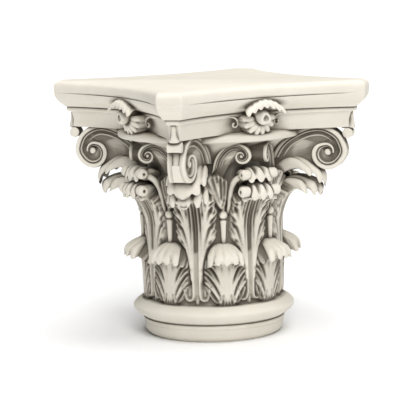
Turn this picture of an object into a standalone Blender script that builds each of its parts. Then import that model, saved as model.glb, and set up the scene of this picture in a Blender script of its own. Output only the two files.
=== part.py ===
"""Corinthian capital, cast in one piece in resin-bonded stone.

A moulded base carries a bell dressed with two rows of acanthus leaves. Corner scrolls, inner
scrolls and their stalks rise from between the leaves to a hollow-sided slab with a flower on
each side. Metres, +Z up, origin at the middle of the underside; the slab's sides face +-X and
+-Y, so its horns point along the diagonals.
"""

import math

import bmesh
import bpy
from mathutils import Vector

# Faces kept once the pieces are united; the rest are slivers along the seams
KEPT_FACES = 9600
SEAM_SLIVER = 0.00003

# Overall sizes
HEIGHT = 0.460
BASE_HEIGHT = 0.0725
SLAB_THICKNESS = 0.0845

# Base mouldings and bell, as radii and heights
FOOT_RADIUS = 0.119
DRUM_RADIUS = 0.127
DRUM_HEIGHT = 0.0235
FILLET_RADIUS = 0.129
FILLET_HEIGHT = 0.0095
TORUS_RADIUS = 0.147
BELL_RADIUS = 0.118
BELL_FLARE_HEIGHT = 0.060
LIP_RADIUS = 0.168
LIP_HEIGHT = 0.015
TURNED_SIDES = 36
TURNED_PHASE = math.radians(3.0)

# Slab, measured from the axis
HORN_REACH = 0.289
HORN_WIDTH = 0.045
SIDE_REACH = 0.1845
SIDE_STEPS = 7

# Leaves
LOWER_LEAF_HEIGHT = 0.1165
LOWER_LEAF_WIDTH = 0.080
FACE_LEAF_HEIGHT = 0.2225
CORNER_LEAF_HEIGHT = 0.2275
UPPER_LEAF_WIDTH = 0.080
STALK_WIDTH = 0.022
INNER_LEAF_WIDTH = 0.056
FLUTE_DEPTH = 0.0024
LEAF_STEPS = 6
LEAF_BACK_STEPS = 4

# Corner scrolls: the eye's place below the slab and the reach of the first turn past the eye
SCROLL_EYE_REACH = 0.2193
SCROLL_EYE_DROP = 0.0435
SCROLL_RADIUS = 0.0338
SCROLL_BAND = 0.0125
SCROLL_FRONT_WIDTH = 0.030
SCROLL_SPREAD = 0.125
SCROLL_RELIEF = 0.0045

# Inner scrolls: two beside each diagonal, flat on a plane square to it
HELIX_PLANE = 0.125
HELIX_EYE_OFFSET = 0.085
HELIX_EYE_DROP = 0.0405
HELIX_RADIUS = 0.018
HELIX_BAND = 0.0075
HELIX_DEPTH = 0.027
HELIX_RELIEF = 0.003

# Stalks between the upper leaves
STALK_ANGLE = math.radians(22.5)
STALK_FOOT_RADIUS = 0.0036
STALK_TOP_RADIUS = 0.0056
BEAD_RADIUS = 0.0078

# Flowers and corner drops
FLOWER_WIDTH = 0.070
FLOWER_HEIGHT = 0.062
FLOWER_REACH = 0.190
PISTIL_RADIUS = 0.0105
DROP_WIDTH = 0.025
DROP_ROLL_RADIUS = 0.0092

SLAB_UNDERSIDE = HEIGHT - SLAB_THICKNESS
QUARTER_TURN = math.pi / 2
CORNER_AZIMUTHS = [math.pi / 4 + QUARTER_TURN * k for k in range(4)]
FACE_AZIMUTHS = [QUARTER_TURN * k for k in range(4)]

# Slab moulding, top to underside: share of the thickness below the top, then how far the
# outline draws in at the horns, how much of the horn's half width goes, and how far the
# middle of a side draws in
SLAB_MOULDING = [
    (0.000, 0.0090, 0.0035, 0.0085),
    (0.040, 0.0026, 0.0010, 0.0024),
    (0.130, 0.0000, 0.0000, 0.0000),
    (0.236, 0.0004, 0.0002, 0.0004),
    (0.252, 0.0026, 0.0010, 0.0026),
    (0.268, 0.0006, 0.0004, 0.0008),
    (0.420, 0.0060, 0.0022, 0.0095),
    (0.550, 0.0195, 0.0062, 0.0310),
    (0.570, 0.0212, 0.0115, 0.0330),
    (0.650, 0.0215, 0.0120, 0.0340),
    (0.672, 0.0280, 0.0125, 0.0395),
    (0.840, 0.0322, 0.0130, 0.0440),
    (1.000, 0.0300, 0.0125, 0.0420),
]

# Leaf sections, foot to tip: front face and back face, each as distance out from the bell
# and share of the leaf's height, then the half width as a share of the leaf's widest half
LOWER_LEAF = [
    ((0.0105, 0.000), (-0.008, 0.000), 0.80),
    ((0.0100, 0.110), (-0.008, 0.110), 0.98),
    ((0.0110, 0.270), (-0.008, 0.270), 0.90),
    ((0.0125, 0.430), (-0.008, 0.430), 1.00),
    ((0.0140, 0.570), (-0.008, 0.600), 0.92),
    ((0.0200, 0.665), (-0.006, 0.990), 0.86),
    ((0.0310, 0.690), (0.0150, 0.975), 0.84),
    ((0.0405, 0.670), (0.0350, 0.890), 0.84),
    ((0.0455, 0.640), (0.0500, 0.760), 0.80),
]
FACE_LEAF = [
    ((0.0110, 0.000), (-0.008, 0.000), 0.00),
    ((0.0108, 0.200), (-0.008, 0.200), 0.00),
    ((0.0100, 0.450), (-0.008, 0.450), 0.05),
    ((0.0105, 0.560), (-0.008, 0.560), 0.50),
    ((0.0130, 0.660), (-0.008, 0.680), 0.84),
    ((0.0190, 0.760), (-0.006, 0.880), 0.86),
    ((0.0320, 0.850), (0.0080, 0.955), 1.00),
    ((0.0440, 0.868), (0.0330, 1.000), 1.00),
    ((0.0520, 0.855), (0.0580, 0.950), 0.94),
]
CORNER_LEAF = [
    ((0.0110, 0.000), (-0.008, 0.000), 0.00),
    ((0.0108, 0.200), (-0.008, 0.200), 0.00),
    ((0.0100, 0.450), (-0.008, 0.450), 0.05),
    ((0.0110, 0.570), (-0.008, 0.570), 0.50),
    ((0.0170, 0.705), (-0.006, 0.780), 0.88),
    ((0.0310, 0.815), (-0.006, 0.930), 0.92),
    ((0.0520, 0.875), (0.0240, 0.985), 0.90),
    ((0.0700, 0.860), (0.0700, 1.000), 0.92),
    ((0.0800, 0.800), (0.1020, 0.925), 0.84),
]
INNER_LEAF = [
    ((-0.004, 0.000), (-0.010, 0.400), 0.55),
    ((0.0150, 0.280), (0.0020, 0.800), 0.80),
    ((0.0340, 0.420), (0.0220, 1.000), 1.00),
    ((0.0480, 0.360), (0.0420, 0.960), 1.00),
    ((0.0530, 0.300), (0.0560, 0.640), 0.92),
]

# Scroll outlines: angle about the eye in degrees, clockwise from the stem, with the outer
# edge's distance from the eye as a share of the scroll's radius
SCROLL_TURNS = [
    (186, 3.00), (160, 2.36), (134, 1.83), (106, 1.50), (75, 1.24), (40, 1.06), (0, 1.00),
    (-45, 0.93), (-90, 0.95), (-135, 0.93), (-180, 0.84), (-225, 0.62), (-275, 0.46), (-330, 0.36),
]
HELIX_TURNS = [
    (206, 3.25), (180, 2.48), (150, 1.92), (118, 1.52), (80, 1.18), (35, 1.00), (-15, 0.94),
    (-70, 0.79), (-127, 0.69), (-185, 0.58), (-240, 0.50),
]


def turned(radius, azimuth, z, sideways=0.0):
    """World point at a radius and azimuth, with a distance along the arc at that radius."""
    angle = azimuth + sideways / max(radius, BELL_RADIUS)
    return Vector((radius * math.cos(angle), radius * math.sin(angle), z))


def squared(azimuth, out, sideways, z):
    """World point in an upright frame that looks out along an azimuth."""
    return Vector((
        out * math.cos(azimuth) - sideways * math.sin(azimuth),
        out * math.sin(azimuth) + sideways * math.cos(azimuth),
        z,
    ))


def lofted(name, sections):
    """Closed body through rings of equal length, with a face over each end ring."""
    bm = bmesh.new()
    rings = [[bm.verts.new(point) for point in ring] for ring in sections]
    count = len(rings[0])
    for lower, upper in zip(rings, rings[1:]):
        for i in range(count):
            j = (i + 1) % count
            bm.faces.new((lower[i], lower[j], upper[j], upper[i]))
    bm.faces.new(rings[0])
    bm.faces.new(rings[-1])
    return finished(name, bm)


def prism(name, outline, near, far):
    """Closed body between two flat copies of an outline."""
    bm = bmesh.new()
    fronts = [bm.verts.new(near(point)) for point in outline]
    backs = [bm.verts.new(far(point)) for point in outline]
    count = len(outline)
    for i in range(count):
        j = (i + 1) % count
        bm.faces.new((fronts[i], fronts[j], backs[j], backs[i]))
    bm.faces.new(fronts)
    bm.faces.new(backs)
    return finished(name, bm)


def finished(name, bm):
    """Turn a bmesh into a linked object with all its faces pointing out."""
    bmesh.ops.triangulate(bm, faces=bm.faces)
    bmesh.ops.recalc_face_normals(bm, faces=bm.faces)
    mesh = bpy.data.meshes.new(name)
    bm.to_mesh(mesh)
    bm.free()
    obj = bpy.data.objects.new(name, mesh)
    bpy.context.scene.collection.objects.link(obj)
    return obj


def make_turned_core():
    """Base mouldings, bell and lip, turned about the axis."""
    profile = [
        (FOOT_RADIUS - 0.003, 0.0),
        (FOOT_RADIUS, 0.0025),
        (0.5 * (FOOT_RADIUS + DRUM_RADIUS) + 0.001, 0.25 * DRUM_HEIGHT),
        (DRUM_RADIUS, 0.60 * DRUM_HEIGHT),
        (DRUM_RADIUS - 0.001, DRUM_HEIGHT),
        (FILLET_RADIUS, DRUM_HEIGHT + 0.0015),
        (FILLET_RADIUS, DRUM_HEIGHT + FILLET_HEIGHT),
    ]
    torus_foot = DRUM_HEIGHT + FILLET_HEIGHT + 0.002
    torus_half = 0.5 * (BASE_HEIGHT - 0.003 - torus_foot)
    torus_middle = TORUS_RADIUS - torus_half
    for degrees in (-62, -34, -4, 28, 58):
        angle = math.radians(degrees)
        profile.append((torus_middle + torus_half * math.cos(angle),
                        torus_foot + torus_half * (1 + math.sin(angle))))
    profile.append((BELL_RADIUS + 0.004, BASE_HEIGHT + 0.001))
    flare_foot = SLAB_UNDERSIDE - LIP_HEIGHT - BELL_FLARE_HEIGHT
    profile.append((BELL_RADIUS, BASE_HEIGHT + 0.012))
    flare_out = LIP_RADIUS - 0.005 - BELL_RADIUS
    for degrees in (0, 30, 60, 84):
        angle = math.radians(degrees)
        profile.append((BELL_RADIUS + flare_out * (1 - math.cos(angle)),
                        flare_foot + BELL_FLARE_HEIGHT * math.sin(angle)))
    profile += [
        (LIP_RADIUS, SLAB_UNDERSIDE - LIP_HEIGHT + 0.003),
        (LIP_RADIUS, SLAB_UNDERSIDE - 0.002),
        (LIP_RADIUS - 0.004, SLAB_UNDERSIDE + 0.0015),
        (0.5 * LIP_RADIUS, SLAB_UNDERSIDE + 0.0015),
        (0.5 * LIP_RADIUS, SLAB_UNDERSIDE + 0.25 * SLAB_THICKNESS),
    ]
    step = 2 * math.pi / TURNED_SIDES
    sections = [[turned(radius, TURNED_PHASE + step * k, z) for k in range(TURNED_SIDES)]
                for radius, z in profile]
    return lofted("turned core", sections)


def slab_ring(z, horn_inset, width_loss, side_inset):
    """Outline of the slab at one level: four canted horns and four hollow sides."""
    reach = HORN_REACH - horn_inset
    half_cant = 0.5 * HORN_WIDTH - width_loss
    middle = SIDE_REACH - side_inset
    half_side = (reach - half_cant) / math.sqrt(2)
    edge_reach = (reach + half_cant) / math.sqrt(2)
    sag = edge_reach - middle
    radius = (half_side ** 2 + sag ** 2) / (2 * sag)
    half_angle = math.asin(half_side / radius)
    ring = []
    for azimuth in FACE_AZIMUTHS:
        for k in range(SIDE_STEPS + 1):
            angle = half_angle * (2 * k / SIDE_STEPS - 1)
            out = middle + radius * (1 - math.cos(angle))
            ring.append(squared(azimuth, out, radius * math.sin(angle), z))
    return ring


def make_slab():
    """Hollow-sided slab with its bulging edge, ovolo, fillet and cove."""
    sections = [slab_ring(HEIGHT - share * SLAB_THICKNESS, horn, loss, side)
                for share, horn, loss, side in SLAB_MOULDING]
    return lofted("slab", sections)


def make_leaf(name, azimuth, table, foot_z, height, width, stalk=0.0, scallop=0.0):
    """One acanthus leaf: fluted front, flat back, sides that droop and a scalloped tip."""
    sections = []
    last = len(table) - 1
    for row, (front, back, share) in enumerate(table):
        half = max(0.5 * width * share, 0.5 * stalk)
        curl = max(0.0, (row - last + 3) / 3)
        ring = []
        for k in range(LEAF_STEPS + 1):
            across = 2 * k / LEAF_STEPS - 1
            ridge = FLUTE_DEPTH * (1 if k % 2 == 0 else -1) * (1 if share > 0.3 else 0.5)
            droop = 0.30 * half * across * across * curl
            tip = -scallop * curl * (1 if k % 2 == 0 else -1)
            out = BELL_RADIUS + front[0] + ridge * (1 - 0.5 * curl)
            out -= 0.004 * across * across * (1 - curl) + 0.08 * half * across * across * curl
            z = foot_z + front[1] * height - droop + 0.5 * tip
            ring.append(turned(out, azimuth, z, half * across))
        for k in range(LEAF_BACK_STEPS, -1, -1):
            across = 2 * k / LEAF_BACK_STEPS - 1
            ridge = FLUTE_DEPTH * (1 if k % 2 == 0 else -1) * curl
            fall = 0.42 * half * across * across * curl
            out = BELL_RADIUS + back[0] + ridge - 0.10 * half * across * across * curl
            z = foot_z + back[1] * height - fall + 0.6 * ridge
            ring.append(turned(out, azimuth, z, half * across * 0.94))
        sections.append(ring)
    return lofted(name, sections)


def scroll_outline(turns, radius, inset):
    """Points just inside a scroll's outer edge, midway between those of its band."""
    points = []
    for (angle, share), (next_angle, next_share) in zip(turns, turns[1:]):
        turn = math.radians(0.5 * (angle + next_angle))
        reach = 0.5 * (share + next_share) * radius - inset
        points.append((reach * math.cos(turn), reach * math.sin(turn)))
    return points


def scroll_ridge(name, turns, radius, band, outer, inner):
    """Raised band that follows a scroll's turns; outer and inner place its two faces."""
    sections = []
    steps = len(turns)
    for index, (angle, share) in enumerate(turns):
        turn = math.radians(angle)
        width = band * (1.0 - 0.45 * index / steps)
        ring = []
        for reach, place in ((share * radius, inner), (share * radius, outer),
                             (share * radius - width, outer), (share * radius - width, inner)):
            ring.append(place((reach * math.cos(turn), reach * math.sin(turn))))
        sections.append(ring)
    return lofted(name, sections)


def make_corner_scroll(azimuth):
    """Scroll under a horn: a wedge with a recessed field and a raised band on each side."""
    eye_z = SLAB_UNDERSIDE - SCROLL_EYE_DROP
    tip = SCROLL_EYE_REACH + SCROLL_RADIUS

    def half_width(out):
        return 0.5 * SCROLL_FRONT_WIDTH + SCROLL_SPREAD * (tip - out)

    def on_side(side, depth):
        def place(point):
            out = SCROLL_EYE_REACH + point[0]
            return squared(azimuth, out, side * (half_width(out) - depth), eye_z + point[1])
        return place

    first_turn = [turn for turn in SCROLL_TURNS if turn[0] >= -140]
    outline = scroll_outline(first_turn, SCROLL_RADIUS, 0.0016)
    outline += [(-0.050, -0.030), (-SCROLL_EYE_REACH + BELL_RADIUS - 0.010, -0.040)]
    pieces = [prism("scroll wedge", outline, on_side(1, SCROLL_RELIEF), on_side(-1, SCROLL_RELIEF))]
    for side in (1, -1):
        pieces.append(scroll_ridge("scroll band", SCROLL_TURNS, SCROLL_RADIUS, SCROLL_BAND,
                                   on_side(side, 0.0), on_side(side, 2.2 * SCROLL_RELIEF)))
    return pieces


def make_helices(azimuth):
    """Two inner scrolls on a plane square to the diagonal, one to each side of it."""
    eye_z = SLAB_UNDERSIDE - HELIX_EYE_DROP
    pieces = []
    for side in (1, -1):
        def at_depth(depth, side=side):
            def place(point):
                return squared(azimuth, HELIX_PLANE - depth,
                               side * (HELIX_EYE_OFFSET + point[0]), eye_z + point[1])
            return place

        first_turn = [turn for turn in HELIX_TURNS if turn[0] >= -130]
        outline = scroll_outline(first_turn, HELIX_RADIUS, 0.0010)
        outline += [(-0.026, -0.016), (-0.040, -0.034)]
        pieces.append(prism("helix field", outline, at_depth(HELIX_RELIEF), at_depth(HELIX_DEPTH)))
        pieces.append(scroll_ridge("helix band", HELIX_TURNS, HELIX_RADIUS, HELIX_BAND,
                                   at_depth(0.0), at_depth(2.5 * HELIX_RELIEF)))
    return pieces


def ball(name, centre, radius, sides=6, rings=4):
    """Small faceted ball."""
    bm = bmesh.new()
    bmesh.ops.create_uvsphere(bm, u_segments=sides, v_segments=rings, radius=radius)
    bmesh.ops.translate(bm, verts=bm.verts, vec=centre)
    return finished(name, bm)


def make_stalk(azimuth, lean):
    """Thin tapered stalk, its bead, and the pointed cup that the scrolls spring from."""
    cap_top = BASE_HEIGHT + 0.93 * LOWER_LEAF_HEIGHT
    bead_z = BASE_HEIGHT + LOWER_LEAF_HEIGHT + 0.0415
    stalk_top = bead_z - BEAD_RADIUS - 0.002
    cup_foot = bead_z + BEAD_RADIUS + 0.0045
    sections = []
    for z, radius in ((cap_top - 0.010, STALK_FOOT_RADIUS), (stalk_top, STALK_TOP_RADIUS),
                      (cup_foot + 0.006, 0.5 * STALK_TOP_RADIUS)):
        ring = []
        for k in range(5):
            angle = math.radians(72 * k)
            out = BELL_RADIUS + 0.008 + radius * math.cos(angle)
            ring.append(turned(out, azimuth, z, radius * math.sin(angle)))
        sections.append(ring)
    pieces = [lofted("stalk", sections)]
    pieces.append(ball("bead", turned(BELL_RADIUS + 0.008, azimuth, bead_z), BEAD_RADIUS))
    cup = []
    for rise, out, half in ((0.0, 0.008, 0.0035), (0.014, 0.014, 0.0105), (0.045, 0.020, 0.0175),
                            (0.072, 0.012, 0.0200)):
        ring = []
        drift = lean * 0.010 * (rise / 0.058)
        for k in range(6):
            angle = math.radians(60 * k)
            radial = BELL_RADIUS + out - 0.012 + 0.012 * math.cos(angle)
            ring.append(turned(radial, azimuth, cup_foot + rise, drift + half * math.sin(angle)))
        cup.append(ring)
    pieces.append(lofted("cup", cup))
    return pieces


def make_brace_leaf(azimuth):
    """Smooth leaf that arches out from the stalks to carry a corner scroll."""
    arch = [
        (0.124, -0.083), (0.141, -0.062), (0.163, -0.050), (0.190, -0.056),
        (0.207, -0.068), (0.212, -0.082), (0.203, -0.092), (0.195, -0.079),
        (0.175, -0.071), (0.154, -0.074), (0.136, -0.088), (0.108, -0.110), (0.108, -0.090),
    ]

    def on_side(side):
        def place(point):
            half = 0.5 * SCROLL_FRONT_WIDTH + SCROLL_SPREAD * (0.26 - point[0]) + 0.004
            return squared(azimuth, point[0], side * half, SLAB_UNDERSIDE + point[1] + 0.003)
        return place

    return prism("brace leaf", arch, on_side(1), on_side(-1))


def make_flower(azimuth):
    """Flower on the middle of a side: lobed bowl with a pistil."""
    centre_z = SLAB_UNDERSIDE + 0.0275
    lobes = 12
    sections = []
    for out, share in ((0.120, 0.70), (FLOWER_REACH - 0.030, 0.80), (FLOWER_REACH - 0.008, 1.0),
                       (FLOWER_REACH - 0.020, 0.52)):
        ring = []
        for k in range(lobes):
            angle = 2 * math.pi * k / lobes
            reach = share * (1.0 if k % 2 == 0 or share < 0.9 else 0.86)
            ring.append(squared(azimuth, out, 0.5 * FLOWER_WIDTH * reach * math.cos(angle),
                                centre_z + 0.5 * FLOWER_HEIGHT * reach * math.sin(angle)))
        sections.append(ring)
    pieces = [lofted("flower", sections)]
    cone = []
    for out, share in ((FLOWER_REACH - 0.035, 1.0), (FLOWER_REACH, 0.55)):
        cone.append([squared(azimuth, out, share * PISTIL_RADIUS * math.cos(math.radians(72 * k)),
                             centre_z - 0.002 + share * PISTIL_RADIUS * math.sin(math.radians(72 * k)))
                     for k in range(5)])
    pieces.append(lofted("pistil", cone))
    return pieces


def make_corner_drop(azimuth):
    """Tapered drop on the cove of a horn, ending in a small roll above the scroll."""
    reach = HORN_REACH - 0.0312
    pieces = []
    stem = []
    for z, half, out in ((SLAB_UNDERSIDE + 0.0290, 0.0045, 0.006), (SLAB_UNDERSIDE + 0.0140, 0.0058, 0.006),
                         (SLAB_UNDERSIDE - 0.0050, 0.0080, 0.005)):
        stem.append([squared(azimuth, reach + out, -half, z), squared(azimuth, reach + out, half, z),
                     squared(azimuth, reach - 0.020, half, z), squared(azimuth, reach - 0.020, -half, z)])
    pieces.append(lofted("drop", stem))
    roll = []
    for side in (-1, 1):
        ring = []
        for k in range(8):
            angle = math.radians(45 * k + 22.5)
            ring.append(squared(azimuth, reach - 0.0035 + DROP_ROLL_RADIUS * math.cos(angle),
                                side * 0.5 * DROP_WIDTH,
                                SLAB_UNDERSIDE - 0.0105 + DROP_ROLL_RADIUS * math.sin(angle)))
        roll.append(ring)
    pieces.append(lofted("drop roll", roll))
    return pieces


def make_leaves():
    """Both rows of leaves and the small inner leaf over each face leaf."""
    pieces = []
    for corner in CORNER_AZIMUTHS:
        for side in (1, -1):
            pieces.append(make_leaf("lower leaf", corner + side * STALK_ANGLE, LOWER_LEAF, BASE_HEIGHT,
                                    LOWER_LEAF_HEIGHT, LOWER_LEAF_WIDTH, scallop=0.004))
        pieces.append(make_leaf("corner leaf", corner, CORNER_LEAF, BASE_HEIGHT, CORNER_LEAF_HEIGHT,
                                UPPER_LEAF_WIDTH, stalk=STALK_WIDTH, scallop=0.004))
    for face in FACE_AZIMUTHS:
        pieces.append(make_leaf("face leaf", face, FACE_LEAF, BASE_HEIGHT, FACE_LEAF_HEIGHT,
                                UPPER_LEAF_WIDTH, stalk=STALK_WIDTH, scallop=0.004))
        pieces.append(make_leaf("inner leaf", face, INNER_LEAF, SLAB_UNDERSIDE - 0.100, 0.048,
                                INNER_LEAF_WIDTH, scallop=0.003))
    return pieces


def make_scrolls():
    """Corner scrolls with their brace leaves, inner scrolls and stalks."""
    pieces = []
    for corner in CORNER_AZIMUTHS:
        pieces += make_corner_scroll(corner)
        pieces.append(make_brace_leaf(corner))
        pieces += make_helices(corner)
        pieces += make_corner_drop(corner)
        for side in (1, -1):
            pieces += make_stalk(corner + side * STALK_ANGLE, -side)
    return pieces


def stone_material():
    """Ivory resin-bonded stone with a matt face."""
    material = bpy.data.materials.new("cast stone")
    material.use_nodes = True
    shader = material.node_tree.nodes["Principled BSDF"]
    shader.inputs["Base Color"].default_value = (0.70, 0.66, 0.58, 1.0)
    shader.inputs["Roughness"].default_value = 0.75
    shader.inputs["Metallic"].default_value = 0.0
    return material


def shells(bm):
    """Groups of faces that hang together, as lists."""
    groups = []
    left = set(bm.faces)
    while left:
        group = []
        edge_of = [left.pop()]
        while edge_of:
            face = edge_of.pop()
            group.append(face)
            for edge in face.edges:
                for other in edge.link_faces:
                    if other in left:
                        left.remove(other)
                        edge_of.append(other)
        groups.append(group)
    return groups


def enclosed_volume(faces):
    """Signed volume inside a closed group of triangles, below zero for a hollow."""
    total = 0.0
    for face in faces:
        a, b, c = (vert.co for vert in face.verts)
        total += a.dot(b.cross(c)) / 6
    return total


def fill_hollows(mesh):
    """Make the casting solid by taking out every shell that only bounds a sealed hollow."""
    bm = bmesh.new()
    bm.from_mesh(mesh)
    bmesh.ops.triangulate(bm, faces=bm.faces)
    bmesh.ops.dissolve_degenerate(bm, dist=SEAM_SLIVER, edges=bm.edges)
    bmesh.ops.triangulate(bm, faces=bm.faces)
    for group in shells(bm):
        if enclosed_volume(group) < 0:
            bmesh.ops.delete(bm, geom=group, context="FACES")
    bm.to_mesh(mesh)
    bm.free()


def unite(body, pieces):
    """One closed mesh from a body and the pieces that grow out of it.

    MANIFOLD is used because EXACT leaves open edges where a scroll's band crosses itself.
    """
    carving = bpy.data.collections.new("carving")
    bpy.context.scene.collection.children.link(carving)
    for piece in pieces:
        bpy.context.scene.collection.objects.unlink(piece)
        carving.objects.link(piece)
    union = body.modifiers.new("carving", "BOOLEAN")
    union.operation = "UNION"
    union.operand_type = "COLLECTION"
    union.collection = carving
    union.solver = "MANIFOLD"
    depsgraph = bpy.context.evaluated_depsgraph_get()
    united = bpy.data.meshes.new_from_object(body.evaluated_get(depsgraph))
    body.modifiers.remove(union)
    body.data = united
    for piece in pieces:
        bpy.data.objects.remove(piece, do_unlink=True)
    bpy.data.collections.remove(carving)
    fill_hollows(united)
    slim = body.modifiers.new("slim", "DECIMATE")
    slim.ratio = min(1.0, KEPT_FACES / len(united.polygons))
    slim.use_collapse_triangulate = True


def main():
    """Build the turned core and unite all the carving with it."""
    for obj in list(bpy.data.objects):
        bpy.data.objects.remove(obj, do_unlink=True)
    capital = make_turned_core()
    capital.name = "corinthian_capital"
    pieces = [make_slab()] + make_leaves() + make_scrolls()
    for face in FACE_AZIMUTHS:
        pieces += make_flower(face)
    unite(capital, pieces)
    capital.data.materials.clear()
    capital.data.materials.append(stone_material())


main()
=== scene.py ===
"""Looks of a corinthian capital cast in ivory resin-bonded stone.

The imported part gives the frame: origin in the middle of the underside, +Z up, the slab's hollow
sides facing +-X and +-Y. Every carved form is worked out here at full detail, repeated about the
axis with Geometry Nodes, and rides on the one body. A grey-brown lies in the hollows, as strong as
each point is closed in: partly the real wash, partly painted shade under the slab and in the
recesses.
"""

import logging
import math
from dataclasses import dataclass, field
from enum import Enum
from typing import Callable, Sequence

import bpy
import numpy as np
from mathutils import Matrix, Vector
from mathutils.bvhtree import BVHTree


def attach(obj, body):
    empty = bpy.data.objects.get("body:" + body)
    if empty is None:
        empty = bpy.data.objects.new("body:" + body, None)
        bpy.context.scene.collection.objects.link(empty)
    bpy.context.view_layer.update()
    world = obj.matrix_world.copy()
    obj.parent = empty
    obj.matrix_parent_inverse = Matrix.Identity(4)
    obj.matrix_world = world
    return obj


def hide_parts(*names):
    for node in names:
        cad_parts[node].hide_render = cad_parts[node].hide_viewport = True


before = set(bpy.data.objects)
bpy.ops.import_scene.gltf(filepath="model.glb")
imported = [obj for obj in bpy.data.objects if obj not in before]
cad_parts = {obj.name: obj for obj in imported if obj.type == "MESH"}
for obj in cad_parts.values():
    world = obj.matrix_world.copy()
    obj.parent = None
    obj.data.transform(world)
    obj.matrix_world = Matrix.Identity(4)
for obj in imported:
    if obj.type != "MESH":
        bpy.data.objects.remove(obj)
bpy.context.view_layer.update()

log = logging.getLogger("capital")
logging.basicConfig(level=logging.INFO, format="%(name)s: %(message)s")

MM = 0.001
Point = tuple[float, float]
Place = Callable[[np.ndarray, np.ndarray, np.ndarray], np.ndarray]

# Driving sizes, in metres
HEIGHT = 0.460
SLAB_THICKNESS = 0.0845
BASE_HEIGHT = 0.0725
BELL_RADIUS = 0.118
SLAB_UNDERSIDE = HEIGHT - SLAB_THICKNESS
QUARTER_TURN = math.pi / 2
EIGHTH_TURN = math.pi / 4
HALF_GAP = math.radians(22.5)


class Side(Enum):
    """Which way a form faces beside the line that it is mirrored in."""

    LEFT = -1
    RIGHT = 1


def smooth_path(points: Sequence[Sequence[float]], steps: int) -> np.ndarray:
    """Runs a Catmull-Rom curve through points of any dimension.

    Args:
        points: the points to pass through, first to last.
        steps: how many pieces each span is cut into.

    Returns:
        The points of the curve, ends included.
    """
    knots = np.array(points, float)
    before = 2 * knots[0] - knots[1]
    after = 2 * knots[-1] - knots[-2]
    full = np.vstack([before, knots, after])
    share = np.linspace(0.0, 1.0, steps, endpoint=False)[:, None]
    spans = []
    for a, b, c, d in zip(full, full[1:], full[2:], full[3:]):
        spans.append(0.5 * (2 * b + (c - a) * share + (2 * a - 5 * b + 4 * c - d) * share ** 2
                            + (3 * b - a - 3 * c + d) * share ** 3))
    return np.vstack(spans + [knots[-1:]])


def about_axis(radius: np.ndarray, angle: np.ndarray, height: np.ndarray) -> np.ndarray:
    """Turns radii, angles and heights into points."""
    return np.stack([radius * np.cos(angle), radius * np.sin(angle), height], axis=-1)


@dataclass
class Carving:
    """One carved form, drawn facing +X, with the angles that it is repeated at.

    Args:
        name: the piece's name in the scene.
        points: its vertices.
        faces: its faces, as lists of vertex numbers.
        first_angle: where the first copy faces.
        copies: how many copies stand round the axis.
        crease: the angle above which an edge stays sharp.
    """

    name: str
    points: np.ndarray
    faces: list[tuple[int, ...]]
    first_angle: float = 0.0
    copies: int = 4
    crease: float = math.radians(50)

    def joined(self, other: "Carving") -> "Carving":
        """Adds another form's shell to this one.

        Args:
            other: the form whose shell is added.

        Returns:
            This form, now with both shells.
        """
        shift = len(self.points)
        self.points = np.vstack([self.points, other.points])
        self.faces = self.faces + [tuple(i + shift for i in face) for face in other.faces]
        return self

    def mirrored(self, name: str, first_angle: float) -> "Carving":
        """Gives the same form with left and right swapped.

        Args:
            name: the new form's name.
            first_angle: where its first copy faces.

        Returns:
            The mirrored form.
        """
        points = self.points * np.array([1.0, -1.0, 1.0])
        faces = [tuple(reversed(face)) for face in self.faces]
        return Carving(name, points, faces, first_angle, self.copies, self.crease)


def outward(points: np.ndarray, faces: list[tuple[int, ...]]) -> list[tuple[int, ...]]:
    """Turns a closed shell's faces round if they point inwards.

    Args:
        points: the shell's vertices.
        faces: its faces, all wound the same way.

    Returns:
        The faces, wound so that they point outwards.
    """
    volume = 0.0
    for face in faces:
        corner = points[face[0]]
        for j, k in zip(face[1:], face[2:]):
            volume += float(np.dot(corner, np.cross(points[j], points[k])))
    return faces if volume > 0 else [tuple(reversed(face)) for face in faces]


def lofted(name: str, rings: np.ndarray, first_angle: float = 0.0, copies: int = 4,
           crease: float = math.radians(50)) -> Carving:
    """Makes a closed form through rings of points.

    Args:
        name: the piece's name.
        rings: points, as ring by point by coordinate.
        first_angle: where the first copy faces.
        copies: how many copies stand round the axis.
        crease: the angle above which an edge stays sharp.

    Returns:
        The closed form.
    """
    count, around = rings.shape[:2]
    points = rings.reshape(-1, 3)
    faces = [tuple(reversed(range(around))), tuple(range((count - 1) * around, count * around))]
    for row in range(count - 1):
        low = row * around
        for i in range(around):
            j = (i + 1) % around
            faces.append((low + i, low + j, low + around + j, low + around + i))
    return Carving(name, points, outward(points, faces), first_angle, copies, crease)


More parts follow.
